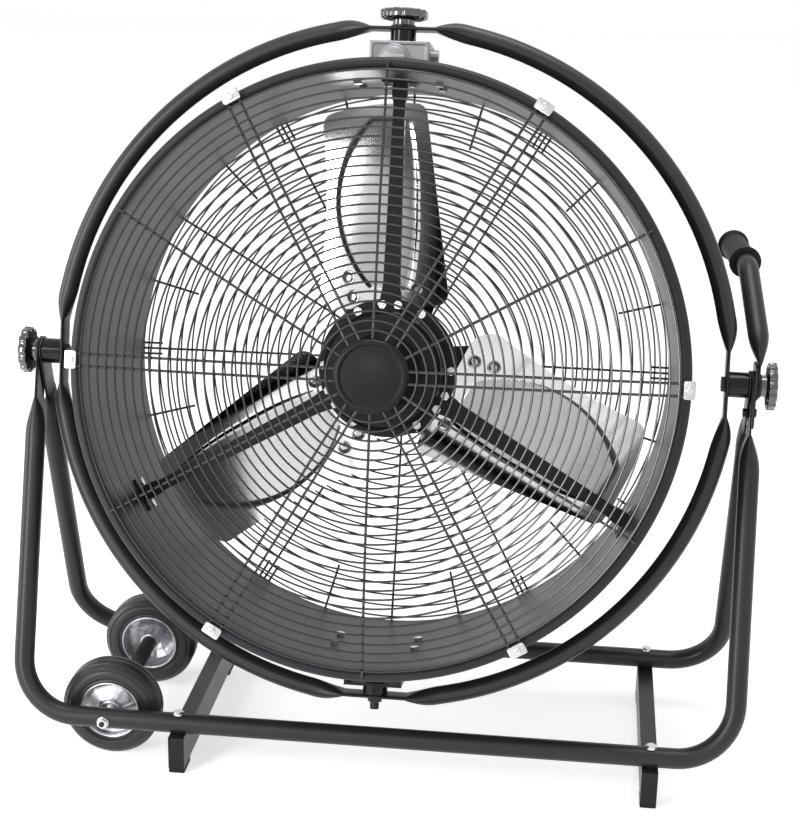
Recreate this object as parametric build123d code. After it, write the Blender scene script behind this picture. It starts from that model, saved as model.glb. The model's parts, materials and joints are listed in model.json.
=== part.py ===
from build123d import *
from math import asin, cos, degrees, hypot, radians, sin, sqrt
import os

# Drum fan on a two-wheeled tube stand, in millimetres and degrees.
# X runs to the viewer's right, Y to the rear, Z up from the floor.
# The origin lies on the floor under the middle of the whole fan.
# The head frame turns with the hoop: x right, y to the rear along the drum, z up.

# Fits and gaps
RUNNING_FIT = 0.05          # radial play of a shaft or bolt in its bore
FACE_GAP = 0.2              # play between flat faces that turn on each other
SEAT = 0.02                 # hairline between a tube and the flat it rests on

# Stand: two tube loops crossing at the tilt pivots, and two cross members
TUBE_RADIUS = 11.1
TUBE_BEND = 62.0
LEG_OUTSET = 3.4            # leg centre line outside the straps' middle
LOOP_SPREAD = 121.0         # base tube from the tilt axis, along Y
BASE_CLEARANCE = 19.0       # between the hoop's circle and the base tubes' height
STRAP_THICKNESS = 2.8       # pressed-flat tube end
STRAP_WIDTH = 32.0
STRAP_REACH = 52.0          # flat length below the pivot
PRESS_LENGTH = 42.0         # from round to flat
MEMBER_WIDTH = 17.5
MEMBER_HEIGHT = 36.5
MEMBER_WALL = 1.6
MEMBER_OVERHANG = 14.0      # past each base tube's centre line
LEFT_INSET = 178.1          # cross members in from the legs' centre lines
RIGHT_INSET = 87.6
FOOT_LENGTH = 28.0
PLUG_FACE = 1.6
PLUG_DEPTH = 9.0
FRAME_SCREW = 3.0
FRAME_SCREW_DEPTH = 30.0    # from the tube's top
SCREW_HEAD = 6.2
SCREW_HEAD_HEIGHT = 3.4

# Wheels
WHEEL_RADIUS = 55.0
WHEEL_WIDTH = 33.5
WHEEL_INSET = 95.6          # axle in from the left legs' centre line
WHEEL_TRACK = 175.0         # between the wheels' middles
RIM_RADIUS = 33.6
TYRE_SHOULDER = 5.0
TREAD_GROOVE = 2.2
TREAD_GROOVES = 2
HUB_PLATE = 2.4
HUB_DISH = 9.0
HUB_BOSS = 11.0
AXLE_RADIUS = 6.0
AXLE_HEAD = 9.5
AXLE_HEAD_HEIGHT = 6.5
SPACER_RADIUS = 9.0

# Lifting handle on the right pivot
BRACKET_PLATE = 3.0
BRACKET_TOP = 24.3
BRACKET_BOTTOM = 45.7
BRACKET_SCREW = 2.6
BRACKET_SCREW_DROP = 30.6
HANDLE_FLAT = 27.0          # flat length above the pivot
HANDLE_PRESS = 26.0         # rise from flat to round
HANDLE_KNEE = 12.0          # set back of the round end of that rise
HANDLE_STEP = 2.5           # and its step outwards
HANDLE_BACK = 80.0          # where the arm turns to the rear
HANDLE_UP = 112.0
HANDLE_IN = 9.0             # lean towards the middle on the way up
HANDLE_BEND = 34.0
GRIP_START = 96.0
GRIP_LENGTH = 92.0
GRIP_LEAN = 4.5             # degrees, towards the middle along the grip
GRIP_RADIUS = 14.6
GRIP_FLANGE = 17.6
GRIP_FLANGE_WIDTH = 5.0

# Clamp knobs and their bolts
KNOB_RADIUS = 25.5
KNOB_GRIP = 9.5
KNOB_COLLAR = 7.0
KNOB_COLLAR_RADIUS = 12.0
KNOB_LOBES = 12
KNOB_FLUTE = 4.2
KNOB_RECESS = 2.0
BOLT_RADIUS = 5.0
BOLT_HEAD = 9.0
BOLT_HEAD_HEIGHT = 6.0
BOLT_END = 3.0              # stops this far below the knob's recess
WASHER_RADIUS = 13.7
WASHER = 1.5
SLEEVE_RADIUS = 13.8

# Hoop
TILT = 13.0                 # the head leans back, front up
HOOP_CLEARANCE = 56.5       # drum wall to the hoop's centre line
HOOP_TUBE = 10.0
PAD_SINK = 2.8              # the flat pads lie this far inside the centre line
PAD_THICKNESS = 4.0
PAD_WIDTH = 29.0
PAD_HALF = 38.0             # half the length of a flat pad
PRESS_ANGLE = 11.5          # where the tube is round again
TILT_SLEEVE = 20.0          # spacer between the hoop and a side's straps
SWIVEL_SLEEVE = 14.0        # spacer between the hoop and a swivel bracket

# Drum
BORE_RADIUS = 307.0
SHEET = 1.5
BEAD_RADIUS = 5.75
FRONT_RIM = -121.0
REAR_RIM = 138.0

# Swivel brackets on the drum
HAT_HALF = 31.5
HAT_FOOT = 56.0
HAT_LENGTH = 60.0
HAT_SHEET = 3.0
HAT_BOLT_ACROSS = 44.0
HAT_BOLT_ALONG = 24.0
SMALL_BOLT = 2.5
SMALL_HEAD = 4.2
SMALL_HEAD_HEIGHT = 3.5
LOCK_NUT_HEIGHT = 8.0
STUB = 4.0                  # bolt end past the lock nut

# Speed control in the top bracket
COVER_SHEET = 4.0
COVER_CORNER = 7.0
SWITCH_WIDTH = 32.0
SWITCH_DEPTH = 18.0
SWITCH_HEIGHT = 21.0
DIAL_RADIUS = 17.0
DIAL_DEPTH = 13.0
DIAL_ACROSS = -5.0
DIAL_DROP = 19.0            # below the bracket's outer face
DIAL_SHAFT = 3.0
GLAND_RADIUS = 6.5
GLAND_LENGTH = 9.0
GLAND_DROP = 13.0           # below the bracket's outer face
GLAND_GROOVES = 2
GLAND_GROOVE_DEPTH = 1.2
GLAND_GROOVE_WIDTH = 1.4

# Grilles
RING_WIRE = 2.6
ROD_WIRE = 3.4
FRONT_RINGS = 29
RIM_RING_INSET = 7.55       # outer front ring, in from the bead's centre
FRONT_DOME = 28.0
REAR_RINGS = 24
REAR_RING_INSET = 7.55
REAR_DOME = 22.0
DOME_POWER = 2.2
INNER_RING = 36.4
REAR_INNER_RING = 10.8
ROD_START = 24.0            # rods meet under the badge
REAR_ROD_START = 8.0
ROD_RUNS = 4                # straight runs that follow the dome
ROD_PAIRS = 6
PAIR_SPACING = 12.6
CLIP_ROD = 24.75            # short rods beside a rear clip
STUB_ROD = 56.75            # short rods between the long rear ones
RING_FACES = 24             # flat sides of a wide ring, half as many on a narrow one
BADGE_RADIUS = 37.7
BADGE_DEPTH = 6.0
BADGE_RIM = 3.0
CLIP_ACROSS = 19.0
CLIP_RADIAL = 12.0
CLIP_SHEET = 1.6
CLIP_OUTSET = 2.75          # clip middle outside the bead's centre
CLIP_SCREW = 2.0

# Motor and its three arms
MOTOR_RADIUS = 62.0
MOTOR_FRONT = -72.0
MOTOR_REAR = 20.0
MOTOR_CAP_RADIUS = 40.0
MOTOR_CAP_DEPTH = 14.0
RING_PLATE = 3.0
RING_PLATE_RADIUS = 75.0
RING_PLATE_FRONT = -14.0
ARM_DEPTH = 9.0
ARM_SHEET = 2.0
ARM_ROOT = 64.0
ARM_TAB = 14.0              # flat end bolted to the ring
ARM_ROOT_WIDTH = 26.0
ARM_TIP_WIDTH = 16.0
ARM_FOOT_WIDTH = 38.0
ARM_FOOT_LENGTH = 26.0
ARM_FOOT_SHEET = 2.5
ARM_BOLT_RADIUS = 69.0
ARM_BOLT_SPACING = 17.0
RING_SCREW_SWING = 30.0     # from an arm to the ring's own screw
FOOT_BOLT_SPACING = 27.5
SHAFT_RADIUS = 8.0
SHAFT_END = 70.0

# Fan blades and the spider that carries them
BLADES = 3
TIP_GAP = 18.5              # blade tip to the drum wall
BLADE_ROOT = 70.0           # right root corner
LOBE_ROOT = 56.0            # left root corner, out along the blade
BLADE_SHEET = 2.0
BLADE_Y = 41.0              # blade face where it crosses its own radial line
ROOT_PITCH = 29.0
TIP_PITCH = 21.0
CAMBER_RADIUS = 420.0
BLADE_LEFT = -94.0
BLADE_WAIST = -86.0         # the left edge is drawn in at half length
BLADE_END_RIGHT = 25.0
BLADE_ROOT_RIGHT = 63.0
BLADE_CORNER = 14.0
LOBE_CORNER = 26.0
STRIP_HALF_ANGLE = 24.0     # half of the arc that a pressed layer spans
LEAF_ROOT = 92.0            # embossed leaf on each blade
LEAF_INSET = 20.5           # the leaf's tip in from the blade's tip
LEAF_LEFT = -52.0
LEAF_RIGHT = 44.0
LEAF_ROOT_ACROSS = -6.0     # its two points, across the blade
LEAF_END_ACROSS = -2.0
LEAF_RISE = 2.6
SPIDER_SHEET = 4.0
SPIDER_NECK = 22.0          # half width at the boss
SPIDER_LEFT = -70.0
SPIDER_RIGHT = 46.0
SPIDER_END = 108.0
SPIDER_BOSS = 30.0
SPIDER_BOSS_FRONT = 2.0     # gap to the motor
HUB_NUT_HEIGHT = 9.0
RIVET_RADIUS = 3.5
RIVET_HEAD = 6.5

# Places that follow from the sizes
drum_outer = BORE_RADIUS + SHEET
bead_centre = BORE_RADIUS + BEAD_RADIUS
hoop_radius = drum_outer + HOOP_CLEARANCE
pad_radius = hoop_radius - PAD_SINK
hoop_outer = pad_radius + PAD_THICKNESS / 2
hoop_inner = pad_radius - PAD_THICKNESS / 2
hat_radius = hoop_inner - FACE_GAP - SWIVEL_SLEEVE
strap_inner = hoop_outer + TILT_SLEEVE + FACE_GAP
strap_middle = strap_inner + STRAP_THICKNESS
strap_outer = strap_middle + STRAP_THICKNESS
leg_spread = strap_middle + LEG_OUTSET
base_z = WHEEL_RADIUS
pivot_rise = hoop_radius + BASE_CLEARANCE
pivot_z = base_z + pivot_rise
pivot_y = -(FRONT_RIM + REAR_RIM) * cos(radians(TILT)) / 2
member_top = base_z - TUBE_RADIUS - SEAT
member_bottom = member_top - MEMBER_HEIGHT
member_end = LOOP_SPREAD + MEMBER_OVERHANG
handle_face = strap_outer + BRACKET_PLATE
wheel_across = WHEEL_INSET - leg_spread
left_member = LEFT_INSET - leg_spread
right_member = leg_spread - RIGHT_INSET
front_pitch = (bead_centre - RIM_RING_INSET - INNER_RING) / (FRONT_RINGS - 1)
rear_pitch = (bead_centre - REAR_RING_INSET - REAR_INNER_RING) / (REAR_RINGS - 1)
clip_radius = bead_centre + CLIP_OUTSET
blade_tip = BORE_RADIUS - TIP_GAP
leaf_tip = blade_tip - LEAF_INSET
dial_out = hat_radius - DIAL_DROP
gland_out = hat_radius - GLAND_DROP
HEAD = Pos(0, pivot_y, pivot_z) * Rot(-TILT, 0, 0)
PIVOT = Pos(0, pivot_y, pivot_z)
BASE = (Align.CENTER, Align.CENTER, Align.MIN)
FRONT = (Align.CENTER, Align.MIN, Align.CENTER)


def aim(origin, direction, sideways=None):
    """A placement whose z axis points along a direction."""
    if sideways is None:
        return Plane(origin=origin, z_dir=direction).location
    return Plane(origin=origin, x_dir=sideways, z_dir=direction).location


def rod(start, direction, radius, length):
    """A round bar from a point along a direction."""
    return aim(start, direction) * Cylinder(radius, length, align=BASE)


def washer(radius, bore, height):
    return Cylinder(radius, height, align=BASE) - Cylinder(bore, height, align=BASE)


def hex_bar(half_flats, height):
    return extrude(RegularPolygon(half_flats, 6, major_radius=False), height)


def hex_bolt(shank, length, head, head_height):
    """Head above the z = 0 face, shank below it."""
    return hex_bar(head, head_height) + Pos(0, 0, -length) * Cylinder(shank, length, align=BASE)


def pan_screw(shank, length, head, head_height):
    """Rounded head above the z = 0 face, shank below it."""
    top = Cylinder(head, head_height, align=BASE)
    top = chamfer(top.edges().group_by(Axis.Z)[-1], head_height * 0.5, head_height * 0.5)
    return top + Pos(0, 0, -length) * Cylinder(shank, length, align=BASE)


# Pressed tube ends
def round_section(radius):
    """A circle in four arcs, to match the edges of a flat section."""
    side, end = radius * cos(radians(60)), radius * sin(radians(60))
    return make_face([
        ThreePointArc((side, -end), (radius, 0), (side, end)),
        ThreePointArc((side, end), (0, radius), (-side, end)),
        ThreePointArc((-side, end), (-radius, 0), (-side, -end)),
        ThreePointArc((-side, -end), (0, -radius), (side, -end)),
    ])


def flat_section(width, thickness):
    """A flattened tube: thin along x, wide along y, with round edges."""
    side, end = thickness / 2, (width - thickness) / 2
    return make_face([
        Line((side, -end), (side, end)),
        ThreePointArc((side, end), (0, width / 2), (-side, end)),
        Line((-side, end), (-side, -end)),
        ThreePointArc((-side, -end), (0, -width / 2), (side, -end)),
    ])


def pressed_end(round_place, flat_place, radius, width, thickness):
    return loft([round_place * round_section(radius), flat_place * flat_section(width, thickness)])


def strap_end(width, thickness, length, hole):
    """A flat strap from z = 0 up to a rounded end about its hole at z = length."""
    sheet = Pos(0, 0, length / 2) * Box(thickness, width, length)
    tip = Rot(0, 90, 0) * Cylinder(width / 2, thickness)
    bore = Rot(0, 90, 0) * Cylinder(hole, thickness * 2)
    return sheet + Pos(0, 0, length) * tip - Pos(0, 0, length) * bore


# Stand
def loop_frame(side):
    """The slanted plane of a loop: x to the right, y up along its legs."""
    up = (0, -side * LOOP_SPREAD, pivot_rise)
    across = Vector(1, 0, 0)
    return Plane(origin=(0, pivot_y + side * LOOP_SPREAD, base_z), x_dir=across,
                 z_dir=across.cross(Vector(*up)))


def frame_screw_spots():
    return [(x, pivot_y + side * LOOP_SPREAD) for x in (left_member, right_member) for side in (-1, 1)]


def loop(side, strap_x):
    """One tube loop with both leg ends pressed flat at the pivots."""
    frame = loop_frame(side)
    leg = hypot(LOOP_SPREAD, pivot_rise)
    top = leg - STRAP_REACH - PRESS_LENGTH
    corners = [(-leg_spread, top), (-leg_spread, 0), (leg_spread, 0), (leg_spread, top)]
    path = FilletPolyline(*corners, radius=TUBE_BEND)
    start = Plane(origin=(-leg_spread, top, 0), z_dir=(0, -1, 0))
    tube = frame.location * sweep(start * Circle(TUBE_RADIUS), path)
    for hand in (-1, 1):
        base = frame.location * Pos(hand * leg_spread, top, 0) * Rot(-90, 0, 0)
        flat = frame.location * Pos(hand * strap_x, leg - STRAP_REACH, 0) * Rot(-90, 0, 0)
        tube += pressed_end(base, flat, TUBE_RADIUS, STRAP_WIDTH, STRAP_THICKNESS)
        tube += flat * strap_end(STRAP_WIDTH, STRAP_THICKNESS, STRAP_REACH, BOLT_RADIUS + RUNNING_FIT)
    for x, y in frame_screw_spots():
        tube -= rod((x, y, 0), (0, 0, 1), FRAME_SCREW + RUNNING_FIT, pivot_z / 2)
    tube -= axle_bar(AXLE_RADIUS + RUNNING_FIT)
    return tube - bracket_screw_bar(BRACKET_SCREW + RUNNING_FIT)


def cross_member(x):
    outer = Box(MEMBER_WIDTH, 2 * member_end, MEMBER_HEIGHT)
    hollow = Box(MEMBER_WIDTH - 2 * MEMBER_WALL, 2 * member_end, MEMBER_HEIGHT - 2 * MEMBER_WALL)
    tube = Pos(x, pivot_y, member_bottom + MEMBER_HEIGHT / 2) * (outer - hollow)
    for spot_x, spot_y in frame_screw_spots():
        tube -= rod((spot_x, spot_y, member_bottom + MEMBER_HEIGHT / 2), (0, 0, 1),
                    FRAME_SCREW + RUNNING_FIT, MEMBER_HEIGHT)
    return tube


def rubber_feet():
    feet = []
    for x in (left_member, right_member):
        for side in (-1, 1):
            block = Box(MEMBER_WIDTH, FOOT_LENGTH, member_bottom, align=BASE)
            block = chamfer(block.edges().group_by(Axis.Z)[0], MEMBER_WALL)
            feet.append(Pos(x, pivot_y + side * (member_end - FOOT_LENGTH / 2), 0) * block)
    return feet


def end_plugs():
    """Plastic plugs that close the open ends of the cross members."""
    middle = member_bottom + MEMBER_HEIGHT / 2
    face = Box(MEMBER_WIDTH, PLUG_FACE, MEMBER_HEIGHT)
    inner = Box(MEMBER_WIDTH - 2 * MEMBER_WALL - 2 * RUNNING_FIT, PLUG_DEPTH,
                MEMBER_HEIGHT - 2 * MEMBER_WALL - 2 * RUNNING_FIT)
    plug = Pos(0, PLUG_FACE / 2, 0) * face + Pos(0, -PLUG_DEPTH / 2, 0) * inner
    plugs = []
    for x in (left_member, right_member):
        plugs.append(Pos(x, pivot_y + member_end, middle) * plug)
        plugs.append(Pos(x, pivot_y - member_end, middle) * Rot(0, 0, 180) * plug)
    return plugs


def frame_screws():
    top = base_z + TUBE_RADIUS
    screw = pan_screw(FRAME_SCREW, FRAME_SCREW_DEPTH, SCREW_HEAD, SCREW_HEAD_HEIGHT)
    return [Pos(x, y, top) * screw for x, y in frame_screw_spots()]


# Wheels
def axle_half():
    """From the middle to the outside of the base tubes."""
    return LOOP_SPREAD + TUBE_RADIUS + FACE_GAP


def axle_bar(radius):
    start = (wheel_across, pivot_y - axle_half(), base_z)
    return rod(start, (0, 1, 0), radius, 2 * axle_half() + AXLE_HEAD_HEIGHT)


def wheel_axle():
    seat = aim((wheel_across, pivot_y - axle_half(), base_z), (0, -1, 0))
    return axle_bar(AXLE_RADIUS) + seat * hex_bar(AXLE_HEAD, AXLE_HEAD_HEIGHT)


def axle_nut():
    nut = hex_bar(AXLE_HEAD, AXLE_HEAD_HEIGHT) - Cylinder(AXLE_RADIUS + RUNNING_FIT, 4 * AXLE_HEAD_HEIGHT)
    return aim((wheel_across, pivot_y + axle_half(), base_z), (0, 1, 0)) * nut


def axle_spacer():
    half = WHEEL_TRACK / 2 - WHEEL_WIDTH / 2 - FACE_GAP
    tube = washer(SPACER_RADIUS, AXLE_RADIUS + RUNNING_FIT, 2 * half)
    return aim((wheel_across, pivot_y - half, base_z), (0, 1, 0)) * tube


def wheel_place(side):
    """At the wheel's middle, with z outwards along the axle."""
    return aim((wheel_across, pivot_y + side * WHEEL_TRACK / 2, base_z), (0, side, 0))


def tyre(side):
    """A solid rubber ring with bevelled shoulders and grooves round the tread."""
    half = WHEEL_WIDTH / 2
    bevel = half - TYRE_SHOULDER
    shoulder = WHEEL_RADIUS - TYRE_SHOULDER
    outline = Polyline((RIM_RADIUS, -half), (shoulder, -half), (WHEEL_RADIUS, -bevel),
                       (WHEEL_RADIUS, bevel), (shoulder, half), (RIM_RADIUS, half), close=True)
    profile = make_face(outline)
    pitch = 2 * bevel / (TREAD_GROOVES + 1)
    for i in range(TREAD_GROOVES):
        groove = Rectangle(2 * TREAD_GROOVE, TREAD_GROOVE)
        profile -= Pos(WHEEL_RADIUS, -bevel + pitch * (i + 1)) * groove
    return wheel_place(side) * revolve(Plane.XZ * profile, Axis.Z)


def wheel_hub(side):
    """A pressed steel hub: rim band, dished disc and a bearing boss."""
    half = WHEEL_WIDTH / 2
    band = Cylinder(RIM_RADIUS, WHEEL_WIDTH) - Cylinder(RIM_RADIUS - HUB_PLATE, WHEEL_WIDTH)
    boss = Cylinder(HUB_BOSS, WHEEL_WIDTH)
    high, low = half - HUB_PLATE, half - HUB_DISH
    radii = (HUB_BOSS / 2, HUB_BOSS + HUB_PLATE, RIM_RADIUS - 3 * HUB_PLATE, RIM_RADIUS - HUB_PLATE / 2)
    upper = list(zip(radii, (high, high, low, low)))
    lower = [(r, z - HUB_PLATE) for r, z in reversed(upper)]
    disc = revolve(Plane.XZ * make_face(Polyline(*upper, *lower, close=True)), Axis.Z)
    return wheel_place(side) * (band + boss + disc - Cylinder(AXLE_RADIUS + RUNNING_FIT, 2 * WHEEL_WIDTH))


# Handle
def bracket_screw_bar(radius):
    start = (strap_inner - BRACKET_PLATE, pivot_y, pivot_z - BRACKET_SCREW_DROP)
    return rod(start, (1, 0, 0), radius, handle_face - strap_inner + BRACKET_PLATE)


def bracket_screw():
    """A screw through both straps and the handle's bracket, with its nut inside."""
    z = pivot_z - BRACKET_SCREW_DROP
    head = aim((handle_face, pivot_y, z), (1, 0, 0)) * hex_bar(SMALL_HEAD, BRACKET_PLATE)
    nut = aim((strap_inner - BRACKET_PLATE, pivot_y, z), (1, 0, 0)) * hex_bar(SMALL_HEAD, BRACKET_PLATE)
    return bracket_screw_bar(BRACKET_SCREW) + head + nut


def handle_bracket():
    """A flat plate over the right-hand straps that the handle's arm lies on."""
    height = BRACKET_TOP + BRACKET_BOTTOM
    plate = Box(BRACKET_PLATE, STRAP_WIDTH, height)
    plate = fillet(plate.edges().filter_by(Axis.X), STRAP_WIDTH / 4)
    middle = (BRACKET_TOP - BRACKET_BOTTOM) / 2
    plate = Pos(strap_outer + BRACKET_PLATE / 2, 0, middle) * plate
    bore = rod((strap_middle, 0, 0), (1, 0, 0), BOLT_RADIUS + RUNNING_FIT, 4 * BRACKET_PLATE)
    return PIVOT * (plate - bore) - bracket_screw_bar(BRACKET_SCREW + RUNNING_FIT)


def handle_points():
    """The arm's route from the pivot, up, then to the rear."""
    x = handle_face + STRAP_THICKNESS / 2
    rear = GRIP_START + GRIP_LENGTH + GRIP_FLANGE_WIDTH
    inward = (rear - HANDLE_BACK) * sin(radians(GRIP_LEAN))
    return [Vector(x, 0, 0), Vector(x, 0, HANDLE_FLAT),
            Vector(x + HANDLE_STEP, HANDLE_KNEE, HANDLE_FLAT + HANDLE_PRESS),
            Vector(x - HANDLE_IN, HANDLE_BACK, HANDLE_UP), Vector(x - HANDLE_IN - inward, rear, HANDLE_UP)]


def handle_arm():
    pivot, flat, knee, corner, rear = handle_points()
    path = FilletPolyline(knee, corner, rear, radius=HANDLE_BEND)
    lead = corner - knee
    tube = sweep(aim(knee, lead, lead.cross(Vector(1, 0, 0)).cross(lead)) * Circle(TUBE_RADIUS), path)
    neck = pressed_end(aim(knee, lead, Vector(1, 0, 0)), Pos(flat), TUBE_RADIUS, STRAP_WIDTH, STRAP_THICKNESS)
    strap = Pos(flat) * Rot(180, 0, 0) * strap_end(STRAP_WIDTH, STRAP_THICKNESS, HANDLE_FLAT,
                                                  BOLT_RADIUS + RUNNING_FIT)
    return PIVOT * (tube + neck + strap)


def handle_grip():
    """A rubber sleeve with a flange at each end, on the arm's last run."""
    corner, rear = handle_points()[3:]
    along = (rear - corner).normalized()
    start = rear - along * (GRIP_LENGTH + GRIP_FLANGE_WIDTH / 2)
    bore = Cylinder(TUBE_RADIUS + RUNNING_FIT, 4 * GRIP_LENGTH)
    flange = Cylinder(GRIP_FLANGE, GRIP_FLANGE_WIDTH, align=BASE)
    sleeve = Cylinder(GRIP_RADIUS, GRIP_LENGTH, align=BASE) + flange
    sleeve += Pos(0, 0, GRIP_LENGTH - GRIP_FLANGE_WIDTH) * flange
    return PIVOT * aim(start, along) * (sleeve - bore)


# Clamp knobs
def clamp_knob(grip_radius):
    """A lobed hand knob; z = 0 is the face that presses on the washer."""
    disc = Circle(grip_radius)
    for spot in PolarLocations(grip_radius + KNOB_FLUTE / 2, KNOB_LOBES):
        disc -= spot * Circle(KNOB_FLUTE)
    grip = Pos(0, 0, KNOB_COLLAR) * extrude(disc, KNOB_GRIP)
    recess = Pos(0, 0, KNOB_COLLAR + KNOB_GRIP - KNOB_RECESS)
    grip -= recess * Cylinder(grip_radius - 2 * KNOB_FLUTE, 2 * KNOB_RECESS, align=BASE)
    collar = Cylinder(KNOB_COLLAR_RADIUS, KNOB_COLLAR, align=BASE)
    depth = KNOB_COLLAR + KNOB_GRIP - KNOB_RECESS - BOLT_END + FACE_GAP
    return grip + collar - Cylinder(BOLT_RADIUS + RUNNING_FIT, depth, align=BASE)


def knob_bolt(stack):
    """A bolt from its head's seat through a stack and up into a knob."""
    length = stack + KNOB_COLLAR + KNOB_GRIP - KNOB_RECESS - BOLT_END
    return Rot(180, 0, 0) * hex_bolt(BOLT_RADIUS, length, BOLT_HEAD, BOLT_HEAD_HEIGHT)


def side_place(side, distance):
    return PIVOT * aim((side * distance, 0, 0), (side, 0, 0), (0, 0, 1))


def left_knob_seat():
    return strap_outer + WASHER + FACE_GAP


def right_knob_seat():
    return handle_face + STRAP_THICKNESS + WASHER + FACE_GAP


def tilt_washers():
    plate = washer(WASHER_RADIUS, BOLT_RADIUS + RUNNING_FIT, WASHER)
    right = side_place(1, right_knob_seat() - WASHER - FACE_GAP) * plate
    return [side_place(-1, strap_outer) * plate, right]


def tilt_bolts():
    """Both tilt bolts, with their heads inside the hoop."""
    left = side_place(-1, hoop_inner) * knob_bolt(left_knob_seat() - hoop_inner)
    return [left, side_place(1, hoop_inner) * knob_bolt(right_knob_seat() - hoop_inner)]


def tilt_sleeves():
    length = strap_inner - FACE_GAP - hoop_outer
    tube = washer(SLEEVE_RADIUS, BOLT_RADIUS + RUNNING_FIT, length)
    return [side_place(side, hoop_outer) * tube for side in (-1, 1)]


# Hoop
def hoop_place(angle, radius):
    """On the hoop's centre circle, x outwards and z along the tube."""
    turn = radians(angle)
    out = Vector(cos(turn), 0, sin(turn))
    return aim(out * radius, Vector(-sin(turn), 0, cos(turn)), out)


def hoop_pad(quarter):
    """A flat pressed pad at one of the four quarters, with both its necks."""
    bore = Rot(0, 90, 0) * Cylinder(BOLT_RADIUS + RUNNING_FIT, 4 * PAD_THICKNESS)
    middle = hoop_place(quarter, pad_radius)
    section = flat_section(PAD_WIDTH, PAD_THICKNESS)
    pad = middle * (Pos(0, 0, -PAD_HALF) * extrude(section, 2 * PAD_HALF) - bore)
    upper = hoop_place(quarter + PRESS_ANGLE, hoop_radius)
    lower = hoop_place(quarter - PRESS_ANGLE, hoop_radius)
    pad += pressed_end(upper, middle * Pos(0, 0, PAD_HALF), HOOP_TUBE, PAD_WIDTH, PAD_THICKNESS)
    return pad + pressed_end(lower, middle * Pos(0, 0, -PAD_HALF), HOOP_TUBE, PAD_WIDTH, PAD_THICKNESS)


def hoop():
    whole = Part()
    for quarter in (0, 90, 180, 270):
        start = hoop_place(quarter + PRESS_ANGLE, hoop_radius)
        arc = revolve(start * Circle(HOOP_TUBE), Axis((0, 0, 0), (0, -1, 0)), 90 - 2 * PRESS_ANGLE)
        whole += [arc, hoop_pad(quarter)]
    return HEAD * whole


def top_washer():
    return HEAD * Pos(0, 0, hoop_outer) * washer(WASHER_RADIUS, BOLT_RADIUS + RUNNING_FIT, WASHER)


def top_knob():
    return HEAD * Pos(0, 0, hoop_outer + WASHER + FACE_GAP) * clamp_knob(KNOB_RADIUS)


# Drum and its swivel brackets
def along_drum(shape):
    """Turns a shape built on z so that it lies along the drum's axis, z to the rear."""
    return Rot(-90, 0, 0) * shape


def wall_spots():
    """Angle from +x and distance along the drum of each swivel bracket bolt."""
    swing = degrees(asin(HAT_BOLT_ACROSS / drum_outer))
    return [(middle + hand * swing, along * HAT_BOLT_ALONG)
            for middle in (90, 270) for hand in (-1, 1) for along in (-1, 1)]


def foot_spots():
    """The same for the bolts in the feet of the motor arms."""
    middle_y = arm_front() + ARM_DEPTH / 2
    swing = degrees(asin(FOOT_BOLT_SPACING / 2 / BORE_RADIUS))
    return [(angle + hand * swing, middle_y) for angle in arm_angles() for hand in (-1, 1)]


def wall_place(angle, along, radius):
    """On the drum wall, z outwards."""
    turn = radians(angle)
    return aim((radius * cos(turn), along, radius * sin(turn)), (cos(turn), 0, sin(turn)), (0, 1, 0))


def wall_hole(angle, along, radius):
    return wall_place(angle, along, BORE_RADIUS - HAT_FOOT / 4) * Cylinder(radius, HAT_FOOT / 2, align=BASE)


def drum_shell():
    """A rolled sheet barrel with a round bead at each rim."""
    wall = Polyline((BORE_RADIUS, FRONT_RIM), (drum_outer, FRONT_RIM), (drum_outer, REAR_RIM),
                    (BORE_RADIUS, REAR_RIM), close=True)
    profile = make_face(wall)
    for rim in (FRONT_RIM, REAR_RIM):
        profile += Pos(bead_centre, rim) * Circle(BEAD_RADIUS)
        profile += Pos((BORE_RADIUS + bead_centre) / 2, rim) * Rectangle(BEAD_RADIUS, 2 * BEAD_RADIUS)
    barrel = along_drum(revolve(Plane.XZ * profile, Axis.Z))
    for angle, along in wall_spots() + foot_spots():
        barrel -= wall_hole(angle, along, SMALL_BOLT + RUNNING_FIT)
    return barrel


def hat_bracket(side):
    """A hat-shaped bracket across the drum that carries a swivel bolt."""
    skin = Circle(drum_outer + HAT_SHEET) - Circle(drum_outer)
    feet = skin & Pos(0, drum_outer) * Rectangle(2 * HAT_FOOT, HAT_FOOT)
    feet -= Pos(0, drum_outer) * Rectangle(2 * HAT_HALF - 2 * HAT_SHEET, HAT_FOOT)
    rise = hat_radius - drum_outer + 2 * HAT_SHEET
    bridge = Pos(0, hat_radius - rise / 2) * Rectangle(2 * HAT_HALF, rise)
    bridge -= Pos(0, hat_radius - rise / 2 - HAT_SHEET) * Rectangle(2 * HAT_HALF - 2 * HAT_SHEET, rise)
    bridge -= Circle(drum_outer)
    body = extrude(feet + bridge, HAT_LENGTH / 2, both=True)
    body = Rot(90, 0, 0) * body
    body -= Cylinder(BOLT_RADIUS + RUNNING_FIT, 2 * hat_radius, align=BASE)
    if side < 0:
        body = Rot(0, 180, 0) * body
    for angle, along in wall_spots():
        body -= wall_hole(angle, along, SMALL_BOLT + RUNNING_FIT)
    return body


def wall_bolts(spots, inside, outside):
    """Bolts through the drum wall and what lies on it: heads inside, nuts outside."""
    group = []
    grip = inside + SHEET + outside + 3 * RUNNING_FIT
    bolt = Rot(180, 0, 0) * hex_bolt(SMALL_BOLT, grip + SMALL_HEAD_HEIGHT, SMALL_HEAD, SMALL_HEAD_HEIGHT)
    bolt += Pos(0, 0, grip) * hex_bar(SMALL_HEAD, SMALL_HEAD_HEIGHT)
    for angle, along in spots:
        group.append(HEAD * wall_place(angle, along, BORE_RADIUS - inside - RUNNING_FIT) * bolt)
    return group


def bracket_bolts():
    return wall_bolts(wall_spots(), 0, HAT_SHEET)


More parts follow.
